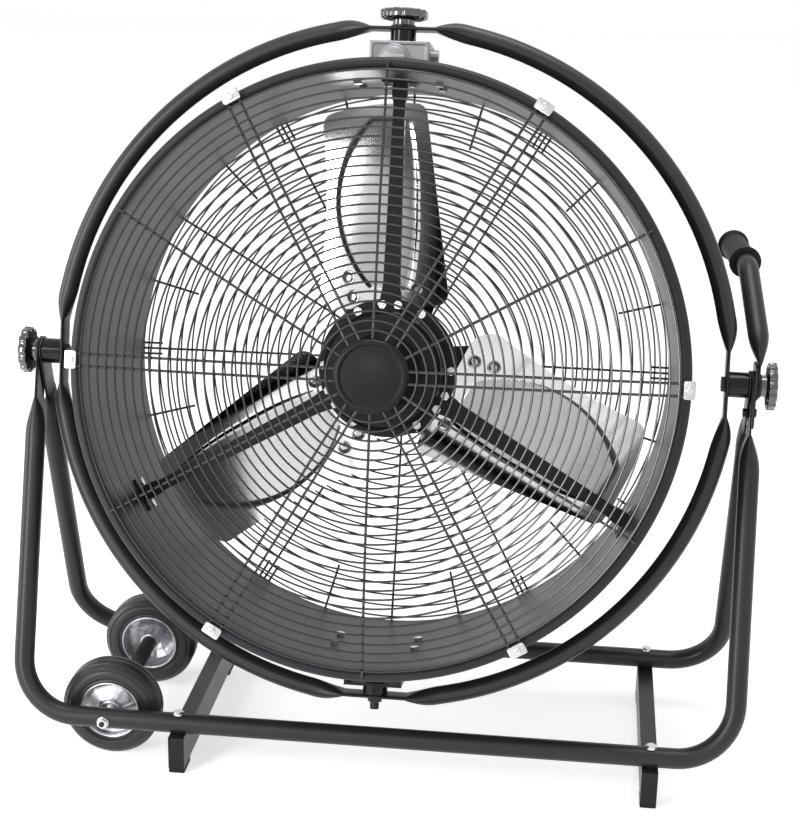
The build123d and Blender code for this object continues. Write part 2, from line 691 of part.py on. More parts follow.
def top_pivot_bolt():
    """Its head hangs under the top bracket; the knob screws onto its end."""
    stack = hoop_outer + WASHER + FACE_GAP - (hat_radius - HAT_SHEET)
    return HEAD * Pos(0, 0, hat_radius - HAT_SHEET) * knob_bolt(stack)


def swivel_sleeve(side):
    length = hoop_inner - FACE_GAP - hat_radius
    tube = washer(SLEEVE_RADIUS, BOLT_RADIUS + RUNNING_FIT, length)
    return HEAD * aim((0, 0, side * hat_radius), (0, 0, side)) * tube


def bottom_pivot_bolt():
    length = hoop_outer + FACE_GAP + WASHER + LOCK_NUT_HEIGHT + STUB - (hat_radius - HAT_SHEET)
    bolt = Rot(180, 0, 0) * hex_bolt(BOLT_RADIUS, length, BOLT_HEAD, BOLT_HEAD_HEIGHT)
    return HEAD * aim((0, 0, -(hat_radius - HAT_SHEET)), (0, 0, -1)) * bolt


def bottom_lock_nut():
    """The lock nut and its washer under the hoop."""
    nut = washer(WASHER_RADIUS, BOLT_RADIUS + RUNNING_FIT, WASHER)
    nut += Pos(0, 0, WASHER) * (hex_bar(BOLT_HEAD, LOCK_NUT_HEIGHT)
                                - Cylinder(BOLT_RADIUS + RUNNING_FIT, 2 * LOCK_NUT_HEIGHT, align=BASE))
    return HEAD * aim((0, 0, -(hoop_outer + FACE_GAP)), (0, 0, -1)) * nut


# Speed control
def control_front():
    return -HAT_LENGTH / 2 - COVER_SHEET


def switch_cover():
    """The grey cover over the front of the top bracket."""
    rise = hat_radius - drum_outer - 2 * RUNNING_FIT
    plate = RectangleRounded(2 * HAT_HALF, rise, COVER_CORNER)
    plate -= Pos(DIAL_ACROSS, dial_out - hat_radius + rise / 2) * Circle(DIAL_SHAFT + RUNNING_FIT)
    plate = extrude(plate, COVER_SHEET)
    return HEAD * Pos(0, -HAT_LENGTH / 2, hat_radius - rise / 2) * Rot(90, 0, 0) * plate


def rotary_switch():
    """The speed switch behind the cover."""
    body = Box(SWITCH_WIDTH, SWITCH_DEPTH, SWITCH_HEIGHT)
    body = Pos(DIAL_ACROSS, -HAT_LENGTH / 2 + SWITCH_DEPTH / 2, dial_out) * body
    bore = rod((DIAL_ACROSS, -HAT_LENGTH / 2, dial_out), (0, 1, 0), DIAL_SHAFT + RUNNING_FIT,
               SWITCH_DEPTH / 2 + FACE_GAP)
    return HEAD * (body - bore)


def speed_dial():
    """A round dial with a raised pointer bar, on the switch's shaft."""
    disc = Cylinder(DIAL_RADIUS, DIAL_DEPTH / 2, align=BASE)
    bar = Pos(0, 0, DIAL_DEPTH / 2) * Box(DIAL_RADIUS / 2, 2 * DIAL_RADIUS - 2, DIAL_DEPTH / 2, align=BASE)
    shaft_length = COVER_SHEET + SWITCH_DEPTH / 2 + FACE_GAP
    shaft = Pos(0, 0, -shaft_length) * Cylinder(DIAL_SHAFT, shaft_length, align=BASE)
    place = aim((DIAL_ACROSS, control_front() - FACE_GAP, dial_out), (0, -1, 0), (1, 0, 0))
    return HEAD * place * (disc + bar + shaft)


def cable_gland():
    """A ribbed strain relief in the side of the top bracket."""
    gland = Cylinder(GLAND_RADIUS, GLAND_LENGTH, align=BASE)
    groove = washer(GLAND_RADIUS, GLAND_RADIUS - GLAND_GROOVE_DEPTH, GLAND_GROOVE_WIDTH)
    for i in range(GLAND_GROOVES):
        gland -= Pos(0, 0, GLAND_LENGTH * (i + 1) / (GLAND_GROOVES + 1)) * groove
    return HEAD * aim((HAT_HALF, -HAT_LENGTH / 4, gland_out), (1, 0, 0)) * gland


# Grilles
def dome_depth(radius, depth):
    """How far a grille stands out from its rim at a radius."""
    share = radius / (bead_centre + BEAD_RADIUS)
    return depth * (1 - share ** DOME_POWER)


def ring_sides(radius):
    return RING_FACES if radius > BORE_RADIUS / 2 else RING_FACES // 2


def grille_ring(radius, height):
    """One wire hoop, drawn as a ring of few flat sides; z is its middle."""
    sides = ring_sides(radius)
    half = RING_WIRE / 2
    outer = RegularPolygon(radius + half, sides)
    return Pos(0, 0, height) * extrude(outer - RegularPolygon(radius - half, sides), half, both=True)


def grille_rod(angle, offset, start, depth, runs=1):
    """A rod behind the rings from a radius out to the bead, in straight runs."""
    stations = [start + (bead_centre - start) * i / runs for i in range(runs + 1)]
    sink = (RING_WIRE + ROD_WIRE) / 2
    half = ROD_WIRE / 2
    upper = [(r, dome_depth(r, depth) - sink + half) for r in stations]
    lower = [(r, dome_depth(r, depth) - sink - half) for r in reversed(stations)]
    side = extrude(make_face(Polyline(*upper, *lower, close=True)), half, both=True)
    return Rot(0, 0, angle) * Pos(0, offset, 0) * Rot(90, 0, 0) * side


def grille_rings(depth, inner, pitch, rings):
    """All rings of a grille, dome upwards, rim at z = 0."""
    return [grille_ring(inner + pitch * i, dome_depth(inner + pitch * i, depth)) for i in range(rings)]


def rim_lift():
    """From the bead's middle to the middle of the rim wires."""
    return BEAD_RADIUS + ROD_WIRE + RING_WIRE / 2


def front_place():
    """z points forwards out of the drum."""
    return aim((0, FRONT_RIM - rim_lift(), 0), (0, -1, 0), (0, 0, 1))


def rear_place():
    return aim((0, REAR_RIM + rim_lift(), 0), (0, 1, 0), (0, 0, 1))


def front_grille():
    """A pair of rods under each clip, and a single rod between the pairs."""
    wires = grille_rings(FRONT_DOME, INNER_RING, front_pitch, FRONT_RINGS)
    for angle in clip_angles():
        for hand in (-1, 1):
            wires.append(grille_rod(angle, hand * PAIR_SPACING / 2, ROD_START, FRONT_DOME, ROD_RUNS))
        wires.append(grille_rod(angle + 180 / ROD_PAIRS, 0, ROD_START, FRONT_DOME, ROD_RUNS))
    return [HEAD * front_place() * wire for wire in wires]


def rear_grille():
    """Single long rods, two short ones beside each clip, and stubs halfway between the long ones."""
    wires = grille_rings(REAR_DOME, REAR_INNER_RING, rear_pitch, REAR_RINGS)
    step = 180 / ROD_PAIRS
    for i in range(2 * ROD_PAIRS):
        wires.append(grille_rod(step * i, 0, REAR_ROD_START, REAR_DOME, ROD_RUNS))
        wires.append(grille_rod(step * (i + 0.5), 0, bead_centre - STUB_ROD, REAR_DOME))
    for angle in clip_angles():
        wires += [grille_rod(angle, hand * PAIR_SPACING / 2, bead_centre - CLIP_ROD, REAR_DOME) for hand in (-1, 1)]
    return [HEAD * rear_place() * wire for wire in wires]


def badge():
    """The bare round plate in the middle of the front grille."""
    plate = Cylinder(BADGE_RADIUS, BADGE_DEPTH, align=BASE)
    recess = Cylinder(BADGE_RADIUS - BADGE_RIM, BADGE_DEPTH, align=BASE)
    plate -= Pos(0, 0, BADGE_DEPTH - BADGE_RIM / 2) * recess
    seat = dome_depth(INNER_RING, FRONT_DOME) + RING_WIRE / 2
    return HEAD * front_place() * Pos(0, 0, seat) * plate


def clip_angles():
    return [360 / ROD_PAIRS * (i + 0.5) for i in range(ROD_PAIRS)]


def grille_clips(place):
    """Sheet clips that hold each pair of rods on the bead."""
    clips = []
    seat = RING_WIRE / 2
    for angle in clip_angles():
        clip = Box(CLIP_RADIAL, CLIP_ACROSS, CLIP_SHEET, align=BASE)
        clip -= Cylinder(CLIP_SCREW + RUNNING_FIT, 4 * CLIP_SHEET)
        clips.append(HEAD * place * Rot(0, 0, angle) * Pos(clip_radius, 0, seat) * clip)
    return clips


def clip_screws():
    screws = []
    depth = RING_WIRE / 2 + CLIP_SHEET + rim_lift() - BEAD_RADIUS - SEAT
    screw = pan_screw(CLIP_SCREW, depth, 2 * CLIP_SCREW, CLIP_SCREW)
    for place in (front_place(), rear_place()):
        for angle in clip_angles():
            spot = place * Rot(0, 0, angle) * Pos(clip_radius, 0, RING_WIRE / 2 + CLIP_SHEET)
            screws.append(HEAD * spot * screw)
    return screws


# Motor and arms
def arm_angles():
    """Top, lower right and lower left, measured from +x towards +z."""
    return [90, -30, 210]


def arm_front():
    return RING_PLATE_FRONT + RING_PLATE


def arm_place(angle):
    """x across the arm, y to the rear, z out along it."""
    turn = radians(angle)
    return aim((0, 0, 0), (cos(turn), 0, sin(turn)), (sin(turn), 0, -cos(turn)))


def tapered(root, tip, length, depth):
    outline = Polyline((-root / 2, 0), (root / 2, 0), (tip / 2, length), (-tip / 2, length), close=True)
    return Rot(90, 0, 0) * extrude(make_face(outline), -depth)


def motor_arm(angle):
    """A pressed channel from the motor ring out to a foot on the drum wall."""
    reach = BORE_RADIUS - ARM_FOOT_SHEET - ARM_ROOT
    arm = tapered(ARM_ROOT_WIDTH, ARM_TIP_WIDTH, reach, ARM_DEPTH)
    hollow = tapered(ARM_ROOT_WIDTH - 2 * ARM_SHEET, ARM_TIP_WIDTH - 2 * ARM_SHEET, reach, ARM_DEPTH)
    arm -= Pos(0, ARM_SHEET, 0) * (hollow + Box(ARM_ROOT_WIDTH, ARM_DEPTH, 2 * ARM_TAB, align=FRONT))
    arm = Pos(0, arm_front(), ARM_ROOT) * arm
    skin = Cylinder(BORE_RADIUS - RUNNING_FIT, ARM_FOOT_LENGTH) \
        - Cylinder(BORE_RADIUS - ARM_FOOT_SHEET, ARM_FOOT_LENGTH)
    block = Pos(0, 0, BORE_RADIUS) * Box(ARM_FOOT_WIDTH, ARM_FOOT_LENGTH, ARM_FOOT_WIDTH)
    foot = (Rot(90, 0, 0) * skin) & block
    arm = arm_place(angle) * (arm + Pos(0, arm_front() + ARM_DEPTH / 2, 0) * foot)
    for spot, along in foot_spots():
        arm -= wall_hole(spot, along, SMALL_BOLT + RUNNING_FIT)
    return HEAD * (arm - ring_bolt_bars(SMALL_BOLT + RUNNING_FIT))


def ring_bolt_places():
    """Two bolts at each arm's root, z to the front."""
    out = sqrt(ARM_BOLT_RADIUS ** 2 - (ARM_BOLT_SPACING / 2) ** 2)
    return [arm_place(angle) * Pos(hand * ARM_BOLT_SPACING / 2, RING_PLATE_FRONT, out) * Rot(90, 0, 0)
            for angle in arm_angles() for hand in (-1, 1)]


def ring_screw_places():
    """Two screws between each pair of neighbouring arms, z to the front."""
    seat = Pos(0, RING_PLATE_FRONT, ARM_BOLT_RADIUS) * Rot(90, 0, 0)
    return [arm_place(angle + hand * RING_SCREW_SWING) * seat for angle in arm_angles() for hand in (-1, 1)]


def ring_bolt_bars(radius):
    bars = Part()
    for place in ring_bolt_places() + ring_screw_places():
        bars += place * Cylinder(radius, 4 * ARM_DEPTH)
    return bars


def arm_bolts():
    """Bolts at the arms' feet and at their roots, and the ring's own screws."""
    group = wall_bolts(foot_spots(), ARM_FOOT_SHEET, 0)
    for places, grip in ((ring_bolt_places(), RING_PLATE + ARM_SHEET), (ring_screw_places(), RING_PLATE)):
        length = grip + SMALL_HEAD_HEIGHT
        bolt = hex_bolt(SMALL_BOLT, length, SMALL_HEAD, SMALL_HEAD_HEIGHT)
        bolt += Pos(0, 0, -length) * hex_bar(SMALL_HEAD, SMALL_HEAD_HEIGHT)
        group += [HEAD * place * bolt for place in places]
    return group


def motor_ring():
    plate = washer(RING_PLATE_RADIUS, MOTOR_RADIUS + RUNNING_FIT, RING_PLATE)
    plate = Pos(0, RING_PLATE_FRONT, 0) * along_drum(plate)
    return HEAD * (plate - ring_bolt_bars(SMALL_BOLT + RUNNING_FIT))


def motor_body():
    """The closed motor can, with a bore for the shaft at the rear."""
    can = Cylinder(MOTOR_RADIUS, MOTOR_REAR - MOTOR_FRONT, align=BASE)
    can = chamfer(can.edges().filter_by(GeomType.CIRCLE), RING_PLATE)
    can = Pos(0, MOTOR_FRONT, 0) * along_drum(can)
    return HEAD * (can - rod((0, 0, 0), (0, 1, 0), SHAFT_RADIUS + RUNNING_FIT, SHAFT_END))


def motor_cap():
    """The bearing cover on the front of the motor."""
    cap = Cylinder(MOTOR_CAP_RADIUS, MOTOR_CAP_DEPTH, align=BASE)
    cap = chamfer(cap.edges().group_by(Axis.Z)[-1], MOTOR_CAP_DEPTH / 2)
    return HEAD * aim((0, MOTOR_FRONT, 0), (0, -1, 0)) * cap


def motor_shaft():
    return HEAD * rod((0, FACE_GAP, 0), (0, 1, 0), SHAFT_RADIUS, SHAFT_END)


# Fan
def sheet_section(near, far, pitch):
    """A cambered, pitched strip between two depths behind the blade's front face."""
    half = STRIP_HALF_ANGLE
    arcs = []
    for depth in (near, far):
        radius = CAMBER_RADIUS + depth
        ends = [(radius * sin(radians(turn)), radius * cos(radians(turn)) - CAMBER_RADIUS)
                for turn in (-half, 0, half)]
        arcs.append(ends)
    edges = [ThreePointArc(*arcs[0]), Line(arcs[0][2], arcs[1][2]),
             ThreePointArc(*reversed(arcs[1])), Line(arcs[1][0], arcs[0][0])]
    return Rot(0, 0, -pitch) * make_face(edges)


def pressed_layer(near, far):
    """A twisted layer that follows the blade, on z out along the blade, y to the rear."""
    inner = Pos(0, BLADE_Y, 0) * sheet_section(near, far, ROOT_PITCH)
    outer = Pos(0, BLADE_Y, blade_tip + SPIDER_BOSS) * sheet_section(near, far, TIP_PITCH)
    return loft([inner, outer], ruled=True)


def on_tip(across):
    """Where a line at this offset meets the blade's round tip."""
    return across, sqrt(blade_tip ** 2 - across ** 2)


def blade_outline():
    """Seen from the front: drawn-in left edge with a lobe at its root, flared right edge, round tip."""
    tip_left, tip_right = on_tip(BLADE_LEFT), on_tip(BLADE_END_RIGHT)
    crown = on_tip((BLADE_LEFT + BLADE_END_RIGHT) / 2)
    root_left, root_right = (BLADE_LEFT, LOBE_ROOT), (BLADE_ROOT_RIGHT, BLADE_ROOT)
    waist = (BLADE_WAIST, (LOBE_ROOT + tip_left[1]) / 2)
    face = make_face([Line(root_left, root_right), Line(root_right, tip_right),
                      ThreePointArc(tip_right, crown, tip_left), ThreePointArc(tip_left, waist, root_left)])
    corners = face.vertices().sort_by(lambda corner: corner.X + corner.Y)
    face = fillet(corners[0], LOBE_CORNER)
    others = [v for v in face.vertices() if v.Y > BLADE_ROOT + BLADE_CORNER or v.X > BLADE_END_RIGHT]
    return fillet(others, BLADE_CORNER)


def leaf_outline(margin):
    """The embossed leaf, drawn in by a margin on each side."""
    root = (LEAF_ROOT_ACROSS, LEAF_ROOT + margin)
    tip = (LEAF_END_ACROSS, leaf_tip - margin)
    middle = (LEAF_ROOT + leaf_tip) / 2
    left, right = (LEAF_LEFT + margin, middle), (LEAF_RIGHT - margin, middle)
    return make_face([ThreePointArc(root, right, tip), ThreePointArc(tip, left, root)])


def fan_places():
    return [arm_place(90 - 360 / BLADES * i) for i in range(BLADES)]


def through_slab(outline):
    return Rot(90, 0, 0) * extrude(outline, 2 * blade_tip, both=True)


def rivet_spots():
    """Across and out along the blade: two rivets on the left, one on the right."""
    low = BLADE_ROOT + RIVET_RADIUS
    high = SPIDER_END - 2 * RIVET_HEAD
    return [(SPIDER_LEFT + 3 * RIVET_HEAD, low), (SPIDER_LEFT + 2 * RIVET_HEAD, high),
            (SPIDER_RIGHT - 2 * RIVET_HEAD, (low + high) / 2)]


def rivet_bar(radius, spot):
    return rod((spot[0], 0, spot[1]), (0, 1, 0), radius, 2 * BLADE_ROOT)


def blade():
    """A pressed blade: cambered, twisted, with a raised leaf that is hollow behind."""
    sheet = pressed_layer(0, BLADE_SHEET) & through_slab(blade_outline())
    sheet += pressed_layer(-LEAF_RISE, BLADE_SHEET) & through_slab(leaf_outline(0))
    sheet -= pressed_layer(BLADE_SHEET - LEAF_RISE, 2 * BLADE_SHEET) & through_slab(leaf_outline(BLADE_SHEET))
    for spot in rivet_spots():
        sheet -= rivet_bar(RIVET_RADIUS + RUNNING_FIT, spot)
    return sheet


def spider_arm():
    """A flared plate behind the blade's root."""
    outline = Polyline((-SPIDER_NECK, 0), (SPIDER_NECK, 0), (SPIDER_RIGHT, BLADE_ROOT),
                       (SPIDER_RIGHT, SPIDER_END), (SPIDER_LEFT, SPIDER_END), (SPIDER_LEFT, BLADE_ROOT), close=True)
    return pressed_layer(BLADE_SHEET, BLADE_SHEET + SPIDER_SHEET) & through_slab(make_face(outline))


def blade_spider():
    """Three pressed arms on a boss that clamps the motor shaft."""
    body = Part()
    for place in fan_places():
        arm = spider_arm()
        for spot in rivet_spots():
            arm -= rivet_bar(RIVET_RADIUS + RUNNING_FIT, spot)
        body += place * arm
    front = MOTOR_REAR + SPIDER_BOSS_FRONT
    body += rod((0, front, 0), (0, 1, 0), SPIDER_BOSS, SHAFT_END - HUB_NUT_HEIGHT - front)
    return HEAD * (body - rod((0, 0, 0), (0, 1, 0), SHAFT_RADIUS + RUNNING_FIT, 2 * SHAFT_END))


def hub_nut():
    nut = hex_bar(2 * SHAFT_RADIUS, HUB_NUT_HEIGHT) \
        - Cylinder(SHAFT_RADIUS + RUNNING_FIT, 4 * HUB_NUT_HEIGHT)
    return HEAD * aim((0, SHAFT_END - HUB_NUT_HEIGHT, 0), (0, 1, 0)) * nut


def blade_rivets():
    """Rivets that follow the blade's face at each spot."""
    group = []
    for place in fan_places():
        for x, z in rivet_spots():
            rivet = Cylinder(RIVET_RADIUS, BLADE_SHEET + SPIDER_SHEET, align=BASE)
            group.append(HEAD * place * aim((x, blade_face(x, z), z), (0, 1, 0)) * rivet)
    return group


def blade_face(x, z):
    """The blade's front face at a spot, along the drum's axis."""
    share = z / (blade_tip + SPIDER_BOSS)
    pitch = radians(ROOT_PITCH + (TIP_PITCH - ROOT_PITCH) * share)
    centre_x = CAMBER_RADIUS * -sin(pitch)
    centre_y = BLADE_Y - CAMBER_RADIUS * cos(pitch)
    return centre_y + sqrt(CAMBER_RADIUS ** 2 - (x - centre_x) ** 2)


def nodes():
    parts = {
        "front_loop": loop(-1, strap_middle + STRAP_THICKNESS / 2),
        "rear_loop": loop(1, strap_middle - STRAP_THICKNESS / 2),
        "left_cross_member": cross_member(left_member),
        "right_cross_member": cross_member(right_member),
        "rubber_feet": rubber_feet(),
        "end_plugs": end_plugs(),
        "frame_screws": frame_screws(),
        "wheel_axle": wheel_axle(),
        "axle_nut": axle_nut(),
        "axle_spacer": axle_spacer(),
        "near_tyre": tyre(-1),
        "near_wheel_hub": wheel_hub(-1),
        "far_tyre": tyre(1),
        "far_wheel_hub": wheel_hub(1),
        "handle_arm": handle_arm(),
        "handle_grip": handle_grip(),
        "handle_bracket": handle_bracket(),
        "bracket_screw": bracket_screw(),
        "tilt_washers": tilt_washers(),
        "left_knob": side_place(-1, left_knob_seat()) * clamp_knob(KNOB_RADIUS),
        "right_knob": side_place(1, right_knob_seat()) * clamp_knob(KNOB_RADIUS),
        "tilt_bolts": tilt_bolts(),
        "tilt_sleeves": tilt_sleeves(),
        "hoop": hoop(),
        "top_washer": top_washer(),
        "top_knob": top_knob(),
        "drum_shell": HEAD * drum_shell(),
        "top_bracket": HEAD * hat_bracket(1),
        "bottom_bracket": HEAD * hat_bracket(-1),
        "bracket_bolts": bracket_bolts(),
        "top_pivot_bolt": top_pivot_bolt(),
        "top_sleeve": swivel_sleeve(1),
        "bottom_pivot_bolt": bottom_pivot_bolt(),
        "bottom_sleeve": swivel_sleeve(-1),
        "bottom_lock_nut": bottom_lock_nut(),
        "switch_cover": switch_cover(),
        "rotary_switch": rotary_switch(),
        "speed_dial": speed_dial(),
        "cable_gland": cable_gland(),
        "front_grille": front_grille(),
        "rear_grille": rear_grille(),
        "badge": badge(),
        "front_clips": grille_clips(front_place()),
        "rear_clips": grille_clips(rear_place()),
        "clip_screws": clip_screws(),
        "arm_bolts": arm_bolts(),
        "motor_ring": motor_ring(),
        "motor_body": motor_body(),
        "motor_cap": motor_cap(),
        "motor_shaft": motor_shaft(),
        "blade_spider": blade_spider(),
        "hub_nut": hub_nut(),
        "blade_rivets": blade_rivets(),
    }
    for name, angle in zip(("top", "right", "left"), arm_angles()):
        parts["motor_arm_" + name] = motor_arm(angle)
    for i, place in enumerate(fan_places()):
        parts[f"blade_{i + 1}"] = HEAD * place * blade()
    return parts


os.makedirs("parts", exist_ok=True)
for name, shape in nodes().items():
    solids = shape if isinstance(shape, list) else shape.solids()
    export_step(Compound(children=list(solids)), f"parts/{name}.step")
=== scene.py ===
import json
import math

import bmesh
import bpy
from mathutils import Matrix, Vector


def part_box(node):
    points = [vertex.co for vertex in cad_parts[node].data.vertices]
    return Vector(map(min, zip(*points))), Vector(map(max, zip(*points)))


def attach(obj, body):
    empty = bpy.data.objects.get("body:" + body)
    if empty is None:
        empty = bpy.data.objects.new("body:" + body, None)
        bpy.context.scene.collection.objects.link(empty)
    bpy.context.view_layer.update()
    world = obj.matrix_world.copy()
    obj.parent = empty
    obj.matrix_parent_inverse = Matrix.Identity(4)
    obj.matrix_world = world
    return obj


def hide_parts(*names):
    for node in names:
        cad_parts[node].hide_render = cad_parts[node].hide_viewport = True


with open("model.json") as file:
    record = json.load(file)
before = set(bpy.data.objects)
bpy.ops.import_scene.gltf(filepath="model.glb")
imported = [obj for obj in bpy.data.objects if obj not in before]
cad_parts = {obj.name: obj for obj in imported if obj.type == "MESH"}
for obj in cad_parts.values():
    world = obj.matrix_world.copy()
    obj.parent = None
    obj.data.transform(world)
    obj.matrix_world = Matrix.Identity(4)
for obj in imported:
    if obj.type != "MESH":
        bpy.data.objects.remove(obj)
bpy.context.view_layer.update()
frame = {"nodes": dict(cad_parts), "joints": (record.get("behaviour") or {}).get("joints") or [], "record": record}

# Frame of the head, which tilts: x to the right, y to the rear along the drum, z up in the hoop.
# STAND has the same origin, on the tilt axis, and stays upright.
joints = {joint["name"]: joint for joint in frame["joints"]}
pivot = Vector(joints["hoop_tilt"]["pos_m"])
up_head = Vector(joints["drum_pan"]["axis"]).normalized()
rear_head = -Vector(joints["fan_spin"]["axis"]).normalized()
HEAD = Matrix.Translation(pivot) @ Matrix((
    (1, 0, 0), (0, rear_head.y, rear_head.z), (0, up_head.y, up_head.z))).transposed().to_4x4()
STAND = Matrix.Translation(pivot)

# Camera: distance and angles of the photograph, in metres and degrees
VIEW_TARGET = Vector((0.0108, pivot.y, pivot.z - 0.0515))
VIEW_DISTANCE = 1.890
VIEW_SIDE = 6.2
VIEW_UP = 17.9
VIEW_ROLL = 1.1
FOCAL_PIXELS = 1725.0
FRAME_HEIGHT = 826.0
SENSOR = 36.0
FAR_CLIP = 50.0

# Floor and light. A ray that sees the background directly gets plain white.
DIRECT_RAYS = ("Is Camera Ray", "Is Glossy Ray", "Is Transmission Ray")
WHITE = (1, 1, 1, 1)
WORLD_TINT = (0.95, 0.97, 1.0, 1)
WORLD_LIGHT = 0.42
FLOOR_HALF = 9.0
FLOOR_COLOUR = (0.90, 0.90, 0.90, 1)
FLOOR_LIFT = 0.62
LAMP_AIM = (0.0, 0.0, 0.45)
LAMPS = (  # name, place, size, watts
    ("key_light", (-1.45, -2.0, 1.02), (0.55, 1.9), 40),
    ("side_light", (-2.5, -0.3, 0.9), (0.6, 1.5), 20),
    ("fill_light", (2.3, -1.3, 1.4), (0.3, 1.6), 4),
    ("front_light", (-0.25, -2.6, 1.15), (0.6, 0.12), 3),
    ("top_light", (0.1, -0.1, 2.9), (1.8, 1.2), 36),
)

# Stand, in metres, from the tilt axis
TUBE_RADIUS = 0.0111
TUBE_BEND = 0.062
LEG_SPREAD = 0.3906
LOOP_SPREAD = 0.121
PIVOT_RISE = 0.384
STRAP_THIN = 0.0028
STRAP_WIDE = 0.032
STRAP_REACH = 0.052
STRAP_DROPS = (0.015, 0.035, STRAP_REACH)
STRAP_MIDDLE = 0.3872
STRAP_PRESS = 0.042
PRESS_POWER = 2.2
PRESS_STEPS = 12
FLAT_SQUARENESS = 1.6  # a flat section's, above a round one's; it sets in with width over thickness
FLAT_START = 1.2
FLAT_RANGE = 4.0
TUBE_STEPS = 7
BEND_STEPS = 14
TIP_TURNS = (8, 20, 35, 50, 65, 78, 90)

# Handle and grip
HANDLE_FACE = 0.3930
HANDLE_REAR = 0.193
HANDLE_CORNER = (-0.0120, 0.080, 0.111)
HANDLE_KNEE = (-0.0025, 0.013, 0.055)
HANDLE_FLAT = 0.025
HANDLE_FLAT_MIDDLE = 0.012
HANDLE_EASE = 0.010
HANDLE_BEND = 0.034
HANDLE_INWARD = 4.5
GRIP_SLEEVE = 0.0146
GRIP_FLANGE = 0.0176
GRIP_LENGTH = 0.092
GRIP_INSET = 0.0025
GRIP_GROOVES = 9
GROOVE_START = 0.012
GROOVE_PITCH = 0.0085
GROOVE_HALF = 0.0012
GROOVE_DEPTH = 0.0004
FLANGE_EDGE = (  # inset from the flange's radius, distance from the grip's end
    (0.0064, 0.0), (0.0015, 0.0), (0.0004, 0.0004), (0.0, 0.0015), (0.0, 0.0035), (0.0005, 0.0045),
    (0.0015, 0.005), (0.0030, 0.0065),
)

# Hoop, in the head frame
HOOP_RADIUS = 0.365
HOOP_TUBE = 0.010
PAD_RADIUS = 0.3622
PAD_THIN = 0.004
PAD_WIDE = 0.029
PAD_PRESS = 0.035
PAD_PRESS_LENGTH = 0.035
PAD_BEND = 0.030
PAD_BEND_LENGTH = 0.045
HOOP_STEP = 0.0128  # between stations on the round stretches
HOOP_STEPS = 16
PAD_RUNS = (0, 12, 24, 30, 34, 35.5, 37, 39, 42, 46, 50, 54, 58, 62, 66, 70, 75, 82)  # millimetres

# Drum and grilles, in the head frame
BORE_RADIUS = 0.307
DRUM_OUTER = 0.3085
BEAD_CENTRE = 0.31275
BEAD_RADIUS = 0.00575
BEAD_SWEEP = 317.7
BEAD_STEPS = 18
WALL_STEPS = 12
FRONT_RIM = -0.121
REAR_RIM = 0.138
RING_WIRE = 0.0026
ROD_WIRE = 0.0034
WIRE_SHARE = 0.82  # the wires' look against the solids, which are thicker
FRONT_PITCH = 0.0096
FRONT_RINGS = 29
FRONT_INNER = 0.0364
FRONT_DOME = 0.028
REAR_PITCH = 0.0128
REAR_RINGS = 24
REAR_INNER = 0.0108
REAR_DOME = 0.022
DOME_POWER = 2.2
FRONT_START = 0.024
REAR_START = 0.008
CLIP_START = 0.288
STUB_START = 0.256
PAIR_SPACING = 0.0126
ROD_STEP = 0.012
WIDE_RING = 0.1
CLIP_PLACES = [30 + 60 * i for i in range(6)]
CLIP_RADIUS = 0.3155
CLIP_RISE = 0.0013
CLIP_HALVES = (0.006, 0.0095, 0.0022)
CLIP_SCREW = (0.0040, 0.0020)
CLIP_SHEET = 0.0016
CLIP_LEVELS = ((0.0, 0.0003), (0.0003, 0.0), (0.0011, 0.0), (0.0015, 0.0003), (CLIP_SHEET, 0.0008))
SCREW_SHARES = (  # a screw head's section, against its radius and height
    (1, 0), (1, 0.25), (0.93, 0.55), (0.78, 0.83), (0.55, 1), (0.35, 1), (0.28, 0.6), (0.05, 0.6),
)

# Knobs: outline with round flutes; levels are (height, radius, 1 where fluted, inset)
KNOB_RADIUS = 0.0255
KNOB_FLUTES = 12
FLUTE_CENTRE = 0.0276
FLUTE_RADIUS = 0.0042
KNOB_STEPS = 240
KNOB_FOOT = 0.00701
KNOB_COLLAR = 0.0122
TOP_KNOB_RISE = 0.3659
KNOB_LEVELS = (
    (0.0, 0.0052, 0, 0), (0.0, 0.0114, 0, 0), (0.0005, 0.012, 0, 0), (0.0058, 0.012, 0, 0),
    (0.0066, 0.0126, 0, 0), (0.0070, 0.0140, 0, 0), (0.0070, 0.0, 1, 0.0022), (0.0073, 0.0, 1, 0.0009),
    (0.0080, 0.0, 1, 0.0001), (0.0085, 0.0, 1, 0), (0.0150, 0.0, 1, 0), (0.0156, 0.0, 1, 0.0003),
    (0.0162, 0.0, 1, 0.0010), (0.0165, 0.0, 1, 0.0022), (0.0165, 0.0186, 0, 0), (0.0162, 0.0178, 0, 0),
    (0.0148, 0.0171, 0, 0), (0.0145, 0.0162, 0, 0), (0.0145, 0.0075, 0, 0), (0.0150, 0.0068, 0, 0),
    (0.0153, 0.0055, 0, 0), (0.0153, 0.0004, 0, 0),
)

# Speed control box
BOX_HALF = 0.0315
BOX_TOP = 0.346
BOX_RISE = 0.0374
BOX_FACE = -0.030
BOX_CORNER = 0.0065
COVER_LEVELS = (  # height, inset
    (0.0, 0.0), (0.0028, 0.0), (0.0036, 0.0004), (0.0040, 0.0012), (0.0040, 0.0028), (0.0037, 0.0034),
    (0.0028, 0.0040), (0.0026, 0.0048),
)
DIAL_SPOT = (-0.005, 0.327)
DIAL_SEAT = 0.0042
DIAL_PROFILE = (  # radius, height
    (0.003, 0.0), (0.0154, 0.0), (0.0158, 0.0004), (0.0158, 0.0018), (0.0152, 0.0024), (0.0140, 0.0026),
    (0.0135, 0.0034), (0.0132, 0.0062), (0.0124, 0.0078), (0.0110, 0.0086), (0.0004, 0.0090),
)
RIDGE_LEVELS = ((0.0060, 0.0), (0.0118, 0.0), (0.0126, 0.0004), (0.0130, 0.0012))
RIDGE_HALVES = (0.0134, 0.0032, 0.0022)
